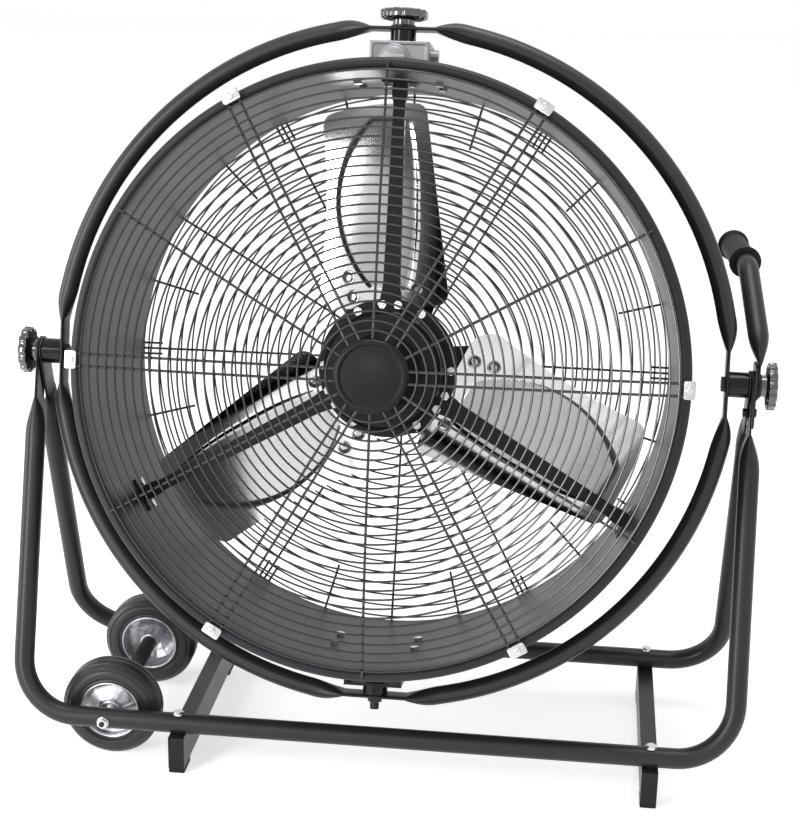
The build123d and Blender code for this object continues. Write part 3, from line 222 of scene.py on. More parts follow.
BADGE_PROFILE = (
    (0.0004, 0.0), (0.0370, 0.0), (0.0377, 0.0008), (0.0377, 0.0026), (0.0371, 0.0040), (0.0359, 0.0052),
    (0.0345, 0.0059), (0.0333, 0.0060), (0.0321, 0.0057), (0.0314, 0.0050), (0.0310, 0.0042),
    (0.0302, 0.0040), (0.0290, 0.0043), (0.0004, 0.0045),
)

# Pins and hexagons: radius at the middle of a pin's end, its broken edge, and a hexagon's as a share
PIN_CORE = 0.0002
PIN_EDGE = 0.001
HEX_EDGE = 0.12

# Bolts of the tilt axis, nut and bolt end under the hoop
TILT_HEAD_HALF = 0.0070
TILT_HEAD_HEIGHT = 0.0040
TILT_BOLT = 0.005
NUT_SHARE = 0.62
BOLT_SHARE = 0.60
LOCK_NUT_HALF = 0.0068
LOCK_BOLT = 0.0044

# Motor arms
ARM_WAIST = 0.74
ARM_FLARE = 0.030
ARM_FOOT = 0.025
ARM_FOOT_EASE = 0.4 * ARM_FOOT
ARM_CUTS = 48

# Fan blades: x across, z out along the blade
BLADE_TIP = 0.2885
BLADE_LEFT = -0.094
BLADE_LEFT_MIDDLE = -0.086
BLADE_LEFT_ROOT = 0.056
BLADE_RIGHT = 0.063
BLADE_RIGHT_ROOT = 0.070
BLADE_RIGHT_TIP = 0.025
BLADE_Y = 0.041
ROOT_PITCH = 29.0
TIP_PITCH = 21.0
PITCH_LENGTH = 0.3185
CAMBER = 0.420
BLADE_SHEET = 0.0022
BLADE_ROWS = 110
ROW_INSET = 0.00005
ROW_EASE = 0.5
BLADE_COLUMNS = 72
COLUMN_EASE = 0.25
OUTLINE_STEPS = 20
CORNER_STEPS = 12
LEAF_ENDS = (0.084, 0.272)
LEAF_LEFT, LEAF_LEFT_END = -0.075, -0.035
LEAF_RIGHT, LEAF_RIGHT_END = 0.022, 0.010
LEAF_LEAN = 0.006
LEAF_RISE = 0.0012
LEAF_EDGE = 0.0055
LEAF_SKEW = 2.4
LEAF_SLOPE = 1.5
# Rise over which the leaf gets the darker copy of the blade metal, a painted reflection
PAINTED_REFLECTION_RISE = 0.6 * LEAF_RISE
LOBE_CORNER = 0.026
BLADE_CORNER = 0.014
RIVET_PLACES = ((-0.0505, 0.0735), (-0.057, 0.095), (0.0235, 0.08425))
RIVET_PROFILE = (
    (0.0078, -0.0004), (0.0078, 0.0003), (0.0074, 0.0006), (0.0062, 0.0007), (0.0058, 0.0014),
    (0.0048, 0.0023), (0.0032, 0.0028), (PIN_CORE, 0.0030),
)

# Wheels and axle; (radius, height over the middle) of the tyre's outer half and the hub's two faces
TYRE_EDGE = (
    (0.0338, 0.0150), (0.0350, 0.0158), (0.0362, 0.0150), (0.0372, 0.0150), (0.0384, 0.0164),
    (0.0400, 0.01675), (0.0450, 0.01675), (0.0466, 0.0160), (0.0474, 0.0150), (0.0484, 0.0150),
    (0.0494, 0.0152), (0.0512, 0.0138), (0.0528, 0.0120), (0.0536, 0.0112), (0.0537, 0.0104),
    (0.0545, 0.0100), (0.0550, 0.0090), (0.0550, 0.0052), (0.0546, 0.0048), (0.0528, 0.0046),
    (0.0528, 0.0032), (0.0546, 0.0030), (0.0550, 0.0026),
)
HUB_FACE = (
    (0.0061, 0.0167), (0.0100, 0.0167), (0.0110, 0.0160), (0.0112, 0.0146), (0.0140, 0.0143),
    (0.0165, 0.0132), (0.0205, 0.0104), (0.0245, 0.0082), (0.0280, 0.0078), (0.0305, 0.0084),
    (0.0312, 0.0104), (0.0313, 0.0150), (0.0317, 0.0160), (0.0326, 0.0165), (0.0334, 0.0161),
    (0.0336, 0.0150),
)
HUB_BACK = (
    (0.0336, -0.0150), (0.0334, -0.0161), (0.0326, -0.0165), (0.0317, -0.0160), (0.0313, -0.0150),
    (0.0312, 0.0040), (0.0300, 0.0054), (0.0245, 0.0060), (0.0205, 0.0082), (0.0165, 0.0110),
    (0.0112, 0.0122), (0.0110, -0.0160), (0.0100, -0.0167), (0.0061, -0.0167),
)
HUB_STEPS = 144
HUB_RIBS = 5
HUB_SWELL = 0.0011
HUB_WEB = (0.0135, 0.0285)
HUB_EASE = 0.004
AXLE_RADIUS = 0.006
AXLE_HEAD = 0.0065
AXLE_SEAT = 0.0005
AXLE_NUT_HALF = 0.0052
AXLE_NUT_ENDS = (0.0010, 0.0050)
AXLE_WASHER = ((PIN_CORE, 0.0), (0.0066, 0.0), (0.0068, 0.0004), (0.0066, 0.0010), (PIN_CORE, 0.0010))
THREAD_PROFILE = (
    (PIN_CORE, 0.0049), (0.0030, 0.0049), (0.0027, 0.0052), (0.0030, 0.0055), (0.0027, 0.0058),
    (0.0030, 0.0061), (0.0024, 0.0063), (PIN_CORE, 0.0064),
)


# ---- camera, light and floor ----
def link_object(thing):
    bpy.context.scene.collection.objects.link(thing)


def make_camera():
    side, up = math.radians(VIEW_SIDE), math.radians(VIEW_UP)
    back = Vector((math.sin(side) * math.cos(up), -math.cos(side) * math.cos(up), math.sin(up)))
    data = bpy.data.cameras.new("camera")
    data.sensor_width = SENSOR
    data.lens = SENSOR * FOCAL_PIXELS / FRAME_HEIGHT
    data.clip_end = FAR_CLIP
    camera = bpy.data.objects.new("camera", data)
    turn = back.to_track_quat("Z", "Y").to_matrix().to_4x4()
    roll = Matrix.Rotation(math.radians(VIEW_ROLL), 4, "Z")
    camera.matrix_world = Matrix.Translation(VIEW_TARGET + back * VIEW_DISTANCE) @ turn @ roll
    link_object(camera)
    bpy.context.scene.camera = camera


def make_lights():
    for name, place, size, power in LAMPS:
        data = bpy.data.lights.new(name, "AREA")
        data.shape = "RECTANGLE"
        data.size, data.size_y = size
        data.energy = power
        lamp = bpy.data.objects.new(name, data)
        turn = (Vector(place) - Vector(LAMP_AIM)).to_track_quat("Z", "Y").to_matrix().to_4x4()
        lamp.matrix_world = Matrix.Translation(place) @ turn
        link_object(lamp)


def set_inputs(node, values):
    for name, value in values.items():
        node.inputs[name].default_value = value


def add_node(nodes, kind, values={}):
    node = nodes.new("ShaderNode" + kind)
    set_inputs(node, values)
    return node


def seen_directly(nodes, links):
    """1 for rays that see the background directly, 0 for the light that falls on things."""
    path = add_node(nodes, "LightPath")
    last = path.outputs[DIRECT_RAYS[0]]
    for kind in DIRECT_RAYS[1:]:
        either = add_node(nodes, "Math")
        either.operation = "MAXIMUM"
        links.new(last, either.inputs[0])
        links.new(path.outputs[kind], either.inputs[1])
        last = either.outputs[0]
    return last


def make_world():
    """Soft light from all sides, in front of a plain white background."""
    world = bpy.data.worlds.new("studio")
    world.use_nodes = True
    nodes, links = world.node_tree.nodes, world.node_tree.links
    nodes.clear()
    light = add_node(nodes, "Background", {"Color": WORLD_TINT, "Strength": WORLD_LIGHT})
    white = add_node(nodes, "Background", {"Color": WHITE, "Strength": 1.0})
    mix = add_node(nodes, "MixShader")
    links.new(seen_directly(nodes, links), mix.inputs[0])
    links.new(light.outputs[0], mix.inputs[1])
    links.new(white.outputs[0], mix.inputs[2])
    output = add_node(nodes, "OutputWorld")
    links.new(mix.outputs[0], output.inputs["Surface"])
    bpy.context.scene.world = world


def make_floor():
    """A pale floor that keeps the shadow and is plain white where no shadow falls."""
    mesh = bpy.data.meshes.new("floor")
    corners = [(x * FLOOR_HALF, y * FLOOR_HALF, 0) for x, y in ((-1, -1), (1, -1), (1, 1), (-1, 1))]
    mesh.from_pydata(corners, [], [(0, 1, 2, 3)])
    floor = bpy.data.objects.new("floor", mesh)
    link_object(floor)
    material = bpy.data.materials.new("floor_white")
    material.use_nodes = True
    nodes, links = material.node_tree.nodes, material.node_tree.links
    shader = nodes["Principled BSDF"]
    set_inputs(shader, {"Base Color": FLOOR_COLOUR, "Roughness": 0.9, "Specular IOR Level": 0.0})
    glow = add_node(nodes, "Emission", {"Color": WHITE})
    lift = add_node(nodes, "Math")
    lift.operation = "MULTIPLY"
    lift.inputs[1].default_value = FLOOR_LIFT
    links.new(seen_directly(nodes, links), lift.inputs[0])
    links.new(lift.outputs[0], glow.inputs["Strength"])
    both = add_node(nodes, "AddShader")
    links.new(shader.outputs[0], both.inputs[0])
    links.new(glow.outputs[0], both.inputs[1])
    links.new(both.outputs[0], nodes["Material Output"].inputs["Surface"])
    mesh.materials.append(material)


# ---- materials ----
def scaled(colour, share):
    return tuple(channel * share for channel in colour) + (1,)


def surface(name, colour, metallic=0.0, roughness=0.4, vary=0.12, rough_vary=0.06, cloud=22.0,
            grain=1400.0, bump=0.00004, coat=0.0, coat_rough=0.12, specular=0.5):
    """A material whose colour, roughness and height vary a little over the surface.

    Cloud and grain are the scales of the coarse and the fine pattern, bump is the fine one's height.
    """
    material = bpy.data.materials.new(name)
    material.use_nodes = True
    nodes, links = material.node_tree.nodes, material.node_tree.links
    shader = nodes["Principled BSDF"]
    set_inputs(shader, {"Metallic": metallic, "Coat Weight": coat, "Coat Roughness": coat_rough,
                        "Specular IOR Level": specular})
    place = add_node(nodes, "TexCoord")
    clouds = add_node(nodes, "TexNoise", {"Scale": cloud, "Detail": 4.0})
    links.new(place.outputs["Object"], clouds.inputs["Vector"])
    tint = add_node(nodes, "ValToRGB")
    tint.color_ramp.elements[0].position = 0.3
    tint.color_ramp.elements[0].color = scaled(colour, 1 - vary)
    tint.color_ramp.elements[1].position = 0.7
    tint.color_ramp.elements[1].color = scaled(colour, 1 + vary)
    links.new(clouds.outputs["Fac"], tint.inputs["Fac"])
    links.new(tint.outputs["Color"], shader.inputs["Base Color"])
    fine = add_node(nodes, "TexNoise", {"Scale": grain, "Detail": 3.0})
    links.new(place.outputs["Object"], fine.inputs["Vector"])
    rough = add_node(nodes, "MapRange", {"To Min": roughness - rough_vary, "To Max": roughness + rough_vary})
    links.new(clouds.outputs["Fac"], rough.inputs["Value"])
    links.new(rough.outputs["Result"], shader.inputs["Roughness"])
    relief = add_node(nodes, "Bump", {"Strength": 0.6, "Distance": bump})
    links.new(fine.outputs["Fac"], relief.inputs["Height"])
    links.new(relief.outputs["Normal"], shader.inputs["Normal"])
    return material


# Looks of the record's material slots and of the finishes that the photograph adds
LOOKS = {
    "stand_paint": dict(colour=(0.020, 0.020, 0.021), roughness=0.34, specular=0.32, bump=0.00002),
    "hoop_paint": dict(colour=(0.020, 0.020, 0.021), roughness=0.36, specular=0.40, bump=0.00002),
    "drum_paint": dict(colour=(0.021, 0.022, 0.025), roughness=0.40, specular=0.24, cloud=9.0, bump=0.00002),
    "grille_wire": dict(colour=(0.008, 0.008, 0.009), roughness=0.28, specular=0.50, coat=0.5),
    "motor_paint": dict(colour=(0.006, 0.006, 0.007), roughness=0.36, specular=0.24),
    "blade_metal": dict(colour=(0.93, 0.935, 0.94), metallic=1.0, roughness=0.10, rough_vary=0.015,
                        vary=0.015, cloud=6.0, grain=60.0, bump=0.0),
    "zinc_fastener": dict(colour=(0.62, 0.62, 0.63), metallic=1.0, roughness=0.26),
    "black_fastener": dict(colour=(0.012, 0.012, 0.013), metallic=0.3, roughness=0.34),
    "shaft_steel": dict(colour=(0.55, 0.55, 0.56), metallic=1.0, roughness=0.22),
    "knob_plastic": dict(colour=(0.006, 0.006, 0.007), roughness=0.10, rough_vary=0.02, grain=2600.0,
                         bump=0.000003, coat=1.0, coat_rough=0.05, specular=1.0),
    "knob_core": dict(colour=(0.006, 0.006, 0.007), roughness=0.62, specular=0.12, grain=2600.0),
    "plug_plastic": dict(colour=(0.010, 0.010, 0.011), roughness=0.50, specular=0.25, grain=2600.0),
    "sleeve_gloss": dict(colour=(0.005, 0.005, 0.006), roughness=0.14, rough_vary=0.03, coat=0.1,
                         coat_rough=0.08, specular=0.22, bump=0.000006),
    # The leaf's metal is the blade metal made darker, a painted reflection that stands in for darker reflections
    # on the blades
    "painted_reflection_leaf_metal": dict(colour=(0.58, 0.585, 0.595), metallic=1.0, roughness=0.13, rough_vary=0.02,
                       vary=0.03, cloud=9.0, grain=60.0, bump=0.0),
    "cover_grey": dict(colour=(0.30, 0.305, 0.315), metallic=0.35, roughness=0.34, grain=2600.0),
    "badge_plastic": dict(colour=(0.009, 0.009, 0.010), roughness=0.30, specular=0.20, bump=0.000006),
    "foot_rubber": dict(colour=(0.010, 0.010, 0.010), roughness=0.70, specular=0.25, bump=0.0001),
    "grip_rubber": dict(colour=(0.007, 0.007, 0.008), roughness=0.50, specular=0.22, bump=0.00006),
    "tyre_rubber": dict(colour=(0.020, 0.020, 0.021), roughness=0.38, specular=0.44, bump=0.00004),
    "hub_steel": dict(colour=(0.50, 0.51, 0.53), metallic=1.0, roughness=0.38, vary=0.28, rough_vary=0.12,
                      cloud=110.0),
}


# CAD nodes whose finish in the photograph isn't their slot's
FINISHES = {
    "bottom_lock_nut": "black_fastener",
    "tilt_washers": "black_fastener",
    "top_washer": "black_fastener",
    "tilt_sleeves": "sleeve_gloss",
    "top_sleeve": "sleeve_gloss",
    "bottom_sleeve": "sleeve_gloss",
    "end_plugs": "plug_plastic",
    "rotary_switch": "plug_plastic",
    "cable_gland": "cover_grey",
    "top_bracket": "cover_grey",
}


def dress_nodes():
    """Gives every CAD node its slot's material, or the finish that the photograph shows."""
    for part in frame["record"]["subparts"]:
        data = frame["nodes"][part["node"]].data
        data.materials.clear()
        data.materials.append(materials[FINISHES.get(part["node"], part["material_slot"])])


def second_finish(piece, name, place, chosen):
    """Gives a second material to the faces whose middle, in the piece's frame, is chosen."""
    piece.data.materials.append(materials[name])
    own = place.inverted()
    for face in piece.data.polygons:
        if chosen(own @ face.center):
            face.material_index = 1


# ---- mesh tools ----
def smooth(share):
    share = min(max(share, 0.0), 1.0)
    return share * share * (3 - 2 * share)


def mixed(low, high, share):
    return low + (high - low) * share


def circle(steps):
    """Angles of equal steps round a circle."""
    return [2 * math.pi * k / steps for k in range(steps)]


def sections(count, squareness):
    """Unit outline of a round (squareness 2) to squarish section."""
    return [[math.copysign(abs(way) ** (2 / squareness), way) for way in (math.cos(turn), math.sin(turn))]
            for turn in circle(count)]


def corner_arc(before, corner, after, radius, steps):
    """Distance from a corner to the arc that rounds it, and the arc's points."""
    back, ahead = (before - corner).normalized(), (after - corner).normalized()
    half = back.angle(ahead) / 2
    reach = radius / math.tan(half)
    middle = corner + (back + ahead).normalized() * (radius / math.sin(half))
    first, last = corner + back * reach - middle, corner + ahead * reach - middle
    sweep = first.angle(last)
    shares = [i / steps for i in range(steps + 1)]
    return reach, [middle + (first * math.sin((1 - share) * sweep) + last * math.sin(share * sweep))
                   / math.sin(sweep) for share in shares]


class Shape:
    """Collects vertices and faces, then becomes one object."""

    def __init__(self):
        self.points = []
        self.faces = []

    def add(self, points, faces, place=Matrix()):
        first = len(self.points)
        self.points += [place @ Vector(point) for point in points]
        self.faces += [tuple(first + i for i in face) for face in faces]

    def skin(self, rings, closed=False, place=Matrix()):
        """Joins rings that have the same count of points, and caps the ends where it is open."""
        count, sides = len(rings), len(rings[0])
        points = [point for ring in rings for point in ring]
        faces = []
        for i in range(count if closed else count - 1):
            here, there = i * sides, (i + 1) % count * sides
            for k in range(sides):
                step = (k + 1) % sides
                faces.append((here + k, here + step, there + step, there + k))
        if not closed:
            faces.append(tuple(reversed(range(sides))))
            faces.append(tuple(range((count - 1) * sides, count * sides)))
        self.add(points, faces, place)

    def tube(self, path, radius, sides, place):
        """A round tube with flat ends along a path."""
        path = [Vector(point) for point in path]
        rings, side, turns = [], None, circle(sides)
        for i, point in enumerate(path):
            along = (path[min(i + 1, len(path) - 1)] - path[max(i - 1, 0)]).normalized()
            if side is None:
                side = along.orthogonal().normalized()
            side = (side - along * side.dot(along)).normalized()
            other = along.cross(side)
            rings.append([point + (side * math.cos(turn) + other * math.sin(turn)) * radius
                          for turn in turns])
        self.skin(rings, place=place)

    def revolve(self, profile, steps, place, closed=False):
        """Turns (radius, z) points about z; a closed profile makes a solid ring."""
        rings = [[(radius * math.cos(turn), radius * math.sin(turn), z) for turn in circle(steps)]
                 for radius, z in profile]
        self.skin(rings, closed, place)

    def pressed_tube(self, stations, sides=28, closed=False, place=Matrix()):
        """A tube whose section changes: (centre, thin way, wide way, half thin, half wide)."""
        rings = []
        for centre, thin, wide, half_thin, half_wide in stations:
            square = 2 + FLAT_SQUARENESS * smooth((half_wide / half_thin - FLAT_START) / FLAT_RANGE)
            rings.append([Vector(centre) + Vector(thin) * (half_thin * a) + Vector(wide) * (half_wide * b)
                          for a, b in sections(sides, square)])
        self.skin(rings, closed, place)

    def finish(self, name, body, slot, *nodes, sharp=38.0):
        """Makes the object, in place of the named nodes; edges over the sharp angle stay hard."""
        mesh = bpy.data.meshes.new(name)
        mesh.from_pydata(self.points, [], self.faces)
        mesh.materials.append(materials[slot])
        solid = bmesh.new()
        solid.from_mesh(mesh)
        bmesh.ops.recalc_face_normals(solid, faces=solid.faces)
        solid.to_mesh(mesh)
        solid.free()
        mesh.polygons.foreach_set("use_smooth", [True] * len(mesh.polygons))
        mesh.set_sharp_from_angle(angle=math.radians(sharp))
        piece = bpy.data.objects.new(name, mesh)
        link_object(piece)
        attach(piece, body)
        if nodes:
            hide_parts(*nodes)
        return piece


def along_axis(origin, axis, sideways):
    """A placement whose z points along an axis."""
    axis = Vector(axis).normalized()
    side = Vector(sideways)
    side = (side - axis * side.dot(axis)).normalized()
    other = axis.cross(side)
    turn = Matrix((side, other, axis)).transposed().to_4x4()
    return Matrix.Translation(Vector(origin)) @ turn


# ---- grilles ----
def dome_height(radius, depth):
    share = radius / (BEAD_CENTRE + BEAD_RADIUS)
    return depth * (1 - share ** DOME_POWER)


def add_rod(shape, angle, offset, start, depth, place):
    """A rod under the rings, from a start radius to the bead, beside the radius at an angle."""
    count = max(2, round((BEAD_CENTRE - start) / ROD_STEP))
    stations = [start + (BEAD_CENTRE - start) * i / count for i in range(count + 1)]
    sink = (RING_WIRE + ROD_WIRE) / 2
    line = [(radius, 0, dome_height(radius, depth) - sink) for radius in stations]
    turned = Matrix.Rotation(math.radians(angle), 4, "Z") @ Matrix.Translation((0, offset, 0))
    shape.tube(line, ROD_WIRE * WIRE_SHARE / 2, 8, place @ turned)


def add_rings(shape, inner, pitch, rings, depth, place):
    """Rings at one pitch on the dome; thin wires still touch, because the rings come down to the rods."""
    wire = RING_WIRE * WIRE_SHARE / 2
    for i in range(rings):
        radius = inner + pitch * i
        height = dome_height(radius, depth) - (1 - WIRE_SHARE) * (RING_WIRE + ROD_WIRE) / 2
        steps = 144 if radius > WIDE_RING else 72
        profile = [(radius + wire * math.cos(turn), height + wire * math.sin(turn)) for turn in circle(8)]
        shape.revolve(profile, steps, place, closed=True)


def grille_places():
    """Rim planes of both grilles, z out of the drum and x up."""
    lift = BEAD_RADIUS + ROD_WIRE + RING_WIRE / 2
    front = Matrix(((0, -1, 0), (0, 0, -1), (1, 0, 0))).to_4x4()
    rear = Matrix(((0, 1, 0), (0, 0, 1), (1, 0, 0))).to_4x4()
    return (HEAD @ Matrix.Translation((0, FRONT_RIM - lift, 0)) @ front,
            HEAD @ Matrix.Translation((0, REAR_RIM + lift, 0)) @ rear)


def make_grilles():
    front, rear = grille_places()
    shape = Shape()
    add_rings(shape, FRONT_INNER, FRONT_PITCH, FRONT_RINGS, FRONT_DOME, front)
    for angle in CLIP_PLACES:
        for hand in (-1, 1):
            add_rod(shape, angle, hand * PAIR_SPACING / 2, FRONT_START, FRONT_DOME, front)
        add_rod(shape, angle + 30, 0, FRONT_START, FRONT_DOME, front)
    shape.finish("front_wire_guard", "drum", "grille_wire", "front_grille")
    shape = Shape()
    add_rings(shape, REAR_INNER, REAR_PITCH, REAR_RINGS, REAR_DOME, rear)
    for i in range(12):
        add_rod(shape, 30 * i, 0, REAR_START, REAR_DOME, rear)
        add_rod(shape, 30 * i + 15, 0, STUB_START, REAR_DOME, rear)
    for angle in CLIP_PLACES:
        for hand in (-1, 1):
            add_rod(shape, angle, hand * PAIR_SPACING / 2, CLIP_START, REAR_DOME, rear)
    shape.finish("rear_wire_guard", "drum", "grille_wire", "rear_grille")


# ---- tubes pressed flat at their ends ----
def press_share(share):
    """How round the tube is between its flat end (0) and its full section (1)."""
    return 1 - (1 - min(max(share, 0.0), 1.0)) ** PRESS_POWER


def hoop_station(quarter, run):
    """A station at a distance along the hoop from the middle of a flat pad."""
    swing = run / HOOP_RADIUS
    share = smooth((abs(run) - PAD_BEND) / PAD_BEND_LENGTH)
    out = mixed(PAD_RADIUS, HOOP_RADIUS * math.cos(swing), share)
    across = mixed(run, HOOP_RADIUS * math.sin(swing), share)
    base = math.radians(quarter)
    lean = base + swing * share
    centre = Vector((out * math.cos(base) - across * math.sin(base), 0,
                     out * math.sin(base) + across * math.cos(base)))
    pressed = (abs(run) - PAD_PRESS) / PAD_PRESS_LENGTH
    return (centre, (math.cos(lean), 0, math.sin(lean)), (0, 1, 0),
            mixed(PAD_THIN / 2, HOOP_TUBE, press_share(pressed)),
            mixed(PAD_WIDE / 2, HOOP_TUBE, smooth(pressed)))


def make_hoop():
    """The round tube ring: eight like runs, each from the middle of a pad to halfway to the next."""
    runs = [run / 1000 for run in PAD_RUNS]
    runs += [runs[-1] + HOOP_STEP * i for i in range(1, HOOP_STEPS)]
    eighth = HOOP_RADIUS * math.pi / 4
    runs = [-eighth] + [-run for run in reversed(runs[1:])] + runs
    stations = [hoop_station(quarter, run) for quarter in (0, 90, 180, 270) for run in runs]
    shape = Shape()
    shape.pressed_tube(stations, closed=True, place=HEAD)
    shape.finish("round_hoop", "tilting_hoop", "hoop_paint", "hoop", sharp=60)


def strap_tip(half_wide):
    """Heights and half widths of the rounded end of a strap, from its tip."""
    turns = [math.radians(turn) for turn in TIP_TURNS]
    return [(half_wide * math.cos(turn), half_wide * math.sin(turn)) for turn in turns]


def loop_half(strap_x, leg):
    """Stations of half a loop in its plane: (x, up, way x, way up, half thin, half wide)."""
    thin = STRAP_THIN / 2
    stations = [(strap_x, leg + rise, 1, 0, thin, half) for rise, half in strap_tip(STRAP_WIDE / 2)]
    stations += [(strap_x, leg - drop, 1, 0, thin, STRAP_WIDE / 2) for drop in STRAP_DROPS]
    for i in range(1, PRESS_STEPS + 1):
        share = i / PRESS_STEPS
        rise = leg - STRAP_REACH - STRAP_PRESS * share
        stations.append((mixed(strap_x, LEG_SPREAD, smooth(share)), rise, 1, 0,
                         mixed(thin, TUBE_RADIUS, press_share(share)),
                         mixed(STRAP_WIDE / 2, TUBE_RADIUS, smooth(share))))
    start = leg - STRAP_REACH - STRAP_PRESS
    for i in range(1, TUBE_STEPS + 1):
        rise = mixed(start, TUBE_BEND, i / (TUBE_STEPS + 1))
        stations.append((LEG_SPREAD, rise, 1, 0, TUBE_RADIUS, TUBE_RADIUS))
    for i in range(BEND_STEPS + 1):
        turn = math.pi / 2 * i / BEND_STEPS
        out, down = math.cos(turn), math.sin(turn)
        stations.append((LEG_SPREAD - TUBE_BEND * (1 - out), TUBE_BEND * (1 - down), out, -down,
                         TUBE_RADIUS, TUBE_RADIUS))
    for i in range(1, TUBE_STEPS + 1):
        stations.append(((LEG_SPREAD - TUBE_BEND) * (1 - i / TUBE_STEPS), 0, 0, -1, TUBE_RADIUS, TUBE_RADIUS))
    return stations


def make_loop(side, strap_x, name, node):
    """One tube loop of the stand; side is -1 in front and 1 at the rear."""
    leg = math.hypot(LOOP_SPREAD, PIVOT_RISE)
    up = Vector((0, -side * LOOP_SPREAD, PIVOT_RISE)) / leg
    right = Vector((1, 0, 0))
    base = Vector((0, side * LOOP_SPREAD, -PIVOT_RISE))
    half = loop_half(strap_x, leg)
    both = half + [(-x, rise, -way_x, way_up, thin, wide)
                   for x, rise, way_x, way_up, thin, wide in reversed(half[:-1])]
    stations = [(base + right * x + up * rise, right * way_x + up * way_up, right.cross(up), thin, wide)
                for x, rise, way_x, way_up, thin, wide in both]
    shape = Shape()
    shape.pressed_tube(stations, place=STAND)
    shape.finish(name, "stand", "stand_paint", node, sharp=60)


def handle_points():
    """Middle of the handle's flat end, end of the flat, knee, corner and rear end."""
    x = HANDLE_FACE + STRAP_THIN / 2
    out, corner_y, height = HANDLE_CORNER
    inward = (HANDLE_REAR - corner_y) * math.sin(math.radians(HANDLE_INWARD))
    return [Vector((x, 0, 0)), Vector((x, 0, HANDLE_FLAT)), Vector((x + HANDLE_KNEE[0], *HANDLE_KNEE[1:])),
            Vector((x + out, corner_y, height)), Vector((x + out - inward, HANDLE_REAR, height))]


def make_handle():
    """The bent handle tube, pressed flat at the pivot, and its grip."""
    start, flat, knee, corner, rear = handle_points()
    thin = STRAP_THIN / 2
    centres = [(start + Vector((0, 0, -rise)), thin, half) for rise, half in strap_tip(STRAP_WIDE / 2)]
    half_way = Vector((0, 0, HANDLE_FLAT_MIDDLE))
    centres += [(start + half_way, thin, STRAP_WIDE / 2), (flat, thin, STRAP_WIDE / 2)]
    first, second = flat + half_way, knee - (corner - knee).normalized() * HANDLE_EASE
    for i in range(1, PRESS_STEPS):
        t = i / PRESS_STEPS
        centre = (flat * (1 - t) ** 3 + first * 3 * t * (1 - t) ** 2
                  + second * 3 * t * t * (1 - t) + knee * t ** 3)
        centres.append((centre, mixed(thin, TUBE_RADIUS, press_share(t)),
                        mixed(STRAP_WIDE / 2, TUBE_RADIUS, smooth(t))))
    bend = corner_arc(knee, corner, rear, HANDLE_BEND, BEND_STEPS)[1]
    centres += [(point, TUBE_RADIUS, TUBE_RADIUS) for point in [knee] + bend + [rear]]
    stations = []
    for i, (centre, half_thin, half_wide) in enumerate(centres):
        before, after = centres[max(i - 1, 0)][0], centres[min(i + 1, len(centres) - 1)][0]
        along = (after - before).normalized()
        side = (Vector((1, 0, 0)) - along * along.x).normalized()
        stations.append((centre, side, along.cross(side), half_thin, half_wide))
    shape = Shape()
    shape.pressed_tube(stations, place=STAND)
    shape.finish("bent_handle", "stand", "stand_paint", "handle_arm", sharp=60)
    make_grip(corner, rear)


def make_grip(corner, rear):
    """A rubber sleeve with round flanges and shallow grooves."""
    along = (rear - corner).normalized()
    place = STAND @ along_axis(rear - along * (GRIP_LENGTH + GRIP_INSET), along, (1, 0, 0))
    end = [(GRIP_FLANGE - inset, z) for inset, z in FLANGE_EDGE]
    profile = list(end)
    for i in range(GRIP_GROOVES):
        z = GROOVE_START + i * GROOVE_PITCH
        profile += [(GRIP_SLEEVE, z - GROOVE_HALF), (GRIP_SLEEVE - GROOVE_DEPTH, z - GROOVE_HALF / 2),
                    (GRIP_SLEEVE - GROOVE_DEPTH, z + GROOVE_HALF / 2), (GRIP_SLEEVE, z + GROOVE_HALF)]
    profile += [(radius, GRIP_LENGTH - z) for radius, z in reversed(end)]
    shape = Shape()
    shape.revolve(profile, steps=48, place=place, closed=True)
    shape.finish("rubber_grip", "stand", "grip_rubber", "handle_grip")


# ---- knobs ----
def flute_radius(turn):
    """Outline of a knob with round flutes."""
    pitch = 2 * math.pi / KNOB_FLUTES
    off = (turn + pitch / 2) % pitch - pitch / 2
    side = FLUTE_CENTRE * math.sin(off)
    if abs(side) >= FLUTE_RADIUS:
        return KNOB_RADIUS
    return min(KNOB_RADIUS, FLUTE_CENTRE * math.cos(off) - math.sqrt(FLUTE_RADIUS ** 2 - side ** 2))


def make_knob(name, node, body, place):
    """A collar, a fluted grip with rounded edges and a dished face."""
    turns, rings = circle(KNOB_STEPS), []
    for z, radius, fluted, inset in KNOB_LEVELS:
        radii = [mixed(radius, flute_radius(turn), fluted) - inset for turn in turns]
        rings.append([(r * math.cos(turn), r * math.sin(turn), z) for r, turn in zip(radii, turns)])
    shape = Shape()
    shape.skin(rings, place=place)
    piece = shape.finish(name, body, "knob_plastic", node, sharp=30)
    second_finish(piece, "knob_core", place, lambda spot: spot.z < KNOB_FOOT and spot.xy.length > KNOB_COLLAR)


def make_knobs():
    for hand, side, x in (("left", -1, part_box("left_knob")[1][0]), ("right", 1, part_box("right_knob")[0][0])):
        place = along_axis((x, pivot.y, pivot.z), (side, 0, 0), (0, 0, 1))
        make_knob(hand + "_hand_knob", hand + "_knob", hand + "_clamp", place)
    make_knob("top_hand_knob", "top_knob", "top_clamp", HEAD @ Matrix.Translation((0, 0, TOP_KNOB_RISE)))


# ---- drum, control box and badge ----
def bead_arc(rim, start):
    """Section of a rim's round bead, from a start angle in degrees."""
    turns = [math.radians(start - BEAD_SWEEP * i / BEAD_STEPS) for i in range(BEAD_STEPS + 1)]
    return [(BEAD_CENTRE + BEAD_RADIUS * math.cos(turn), rim + BEAD_RADIUS * math.sin(turn))
            for turn in turns]


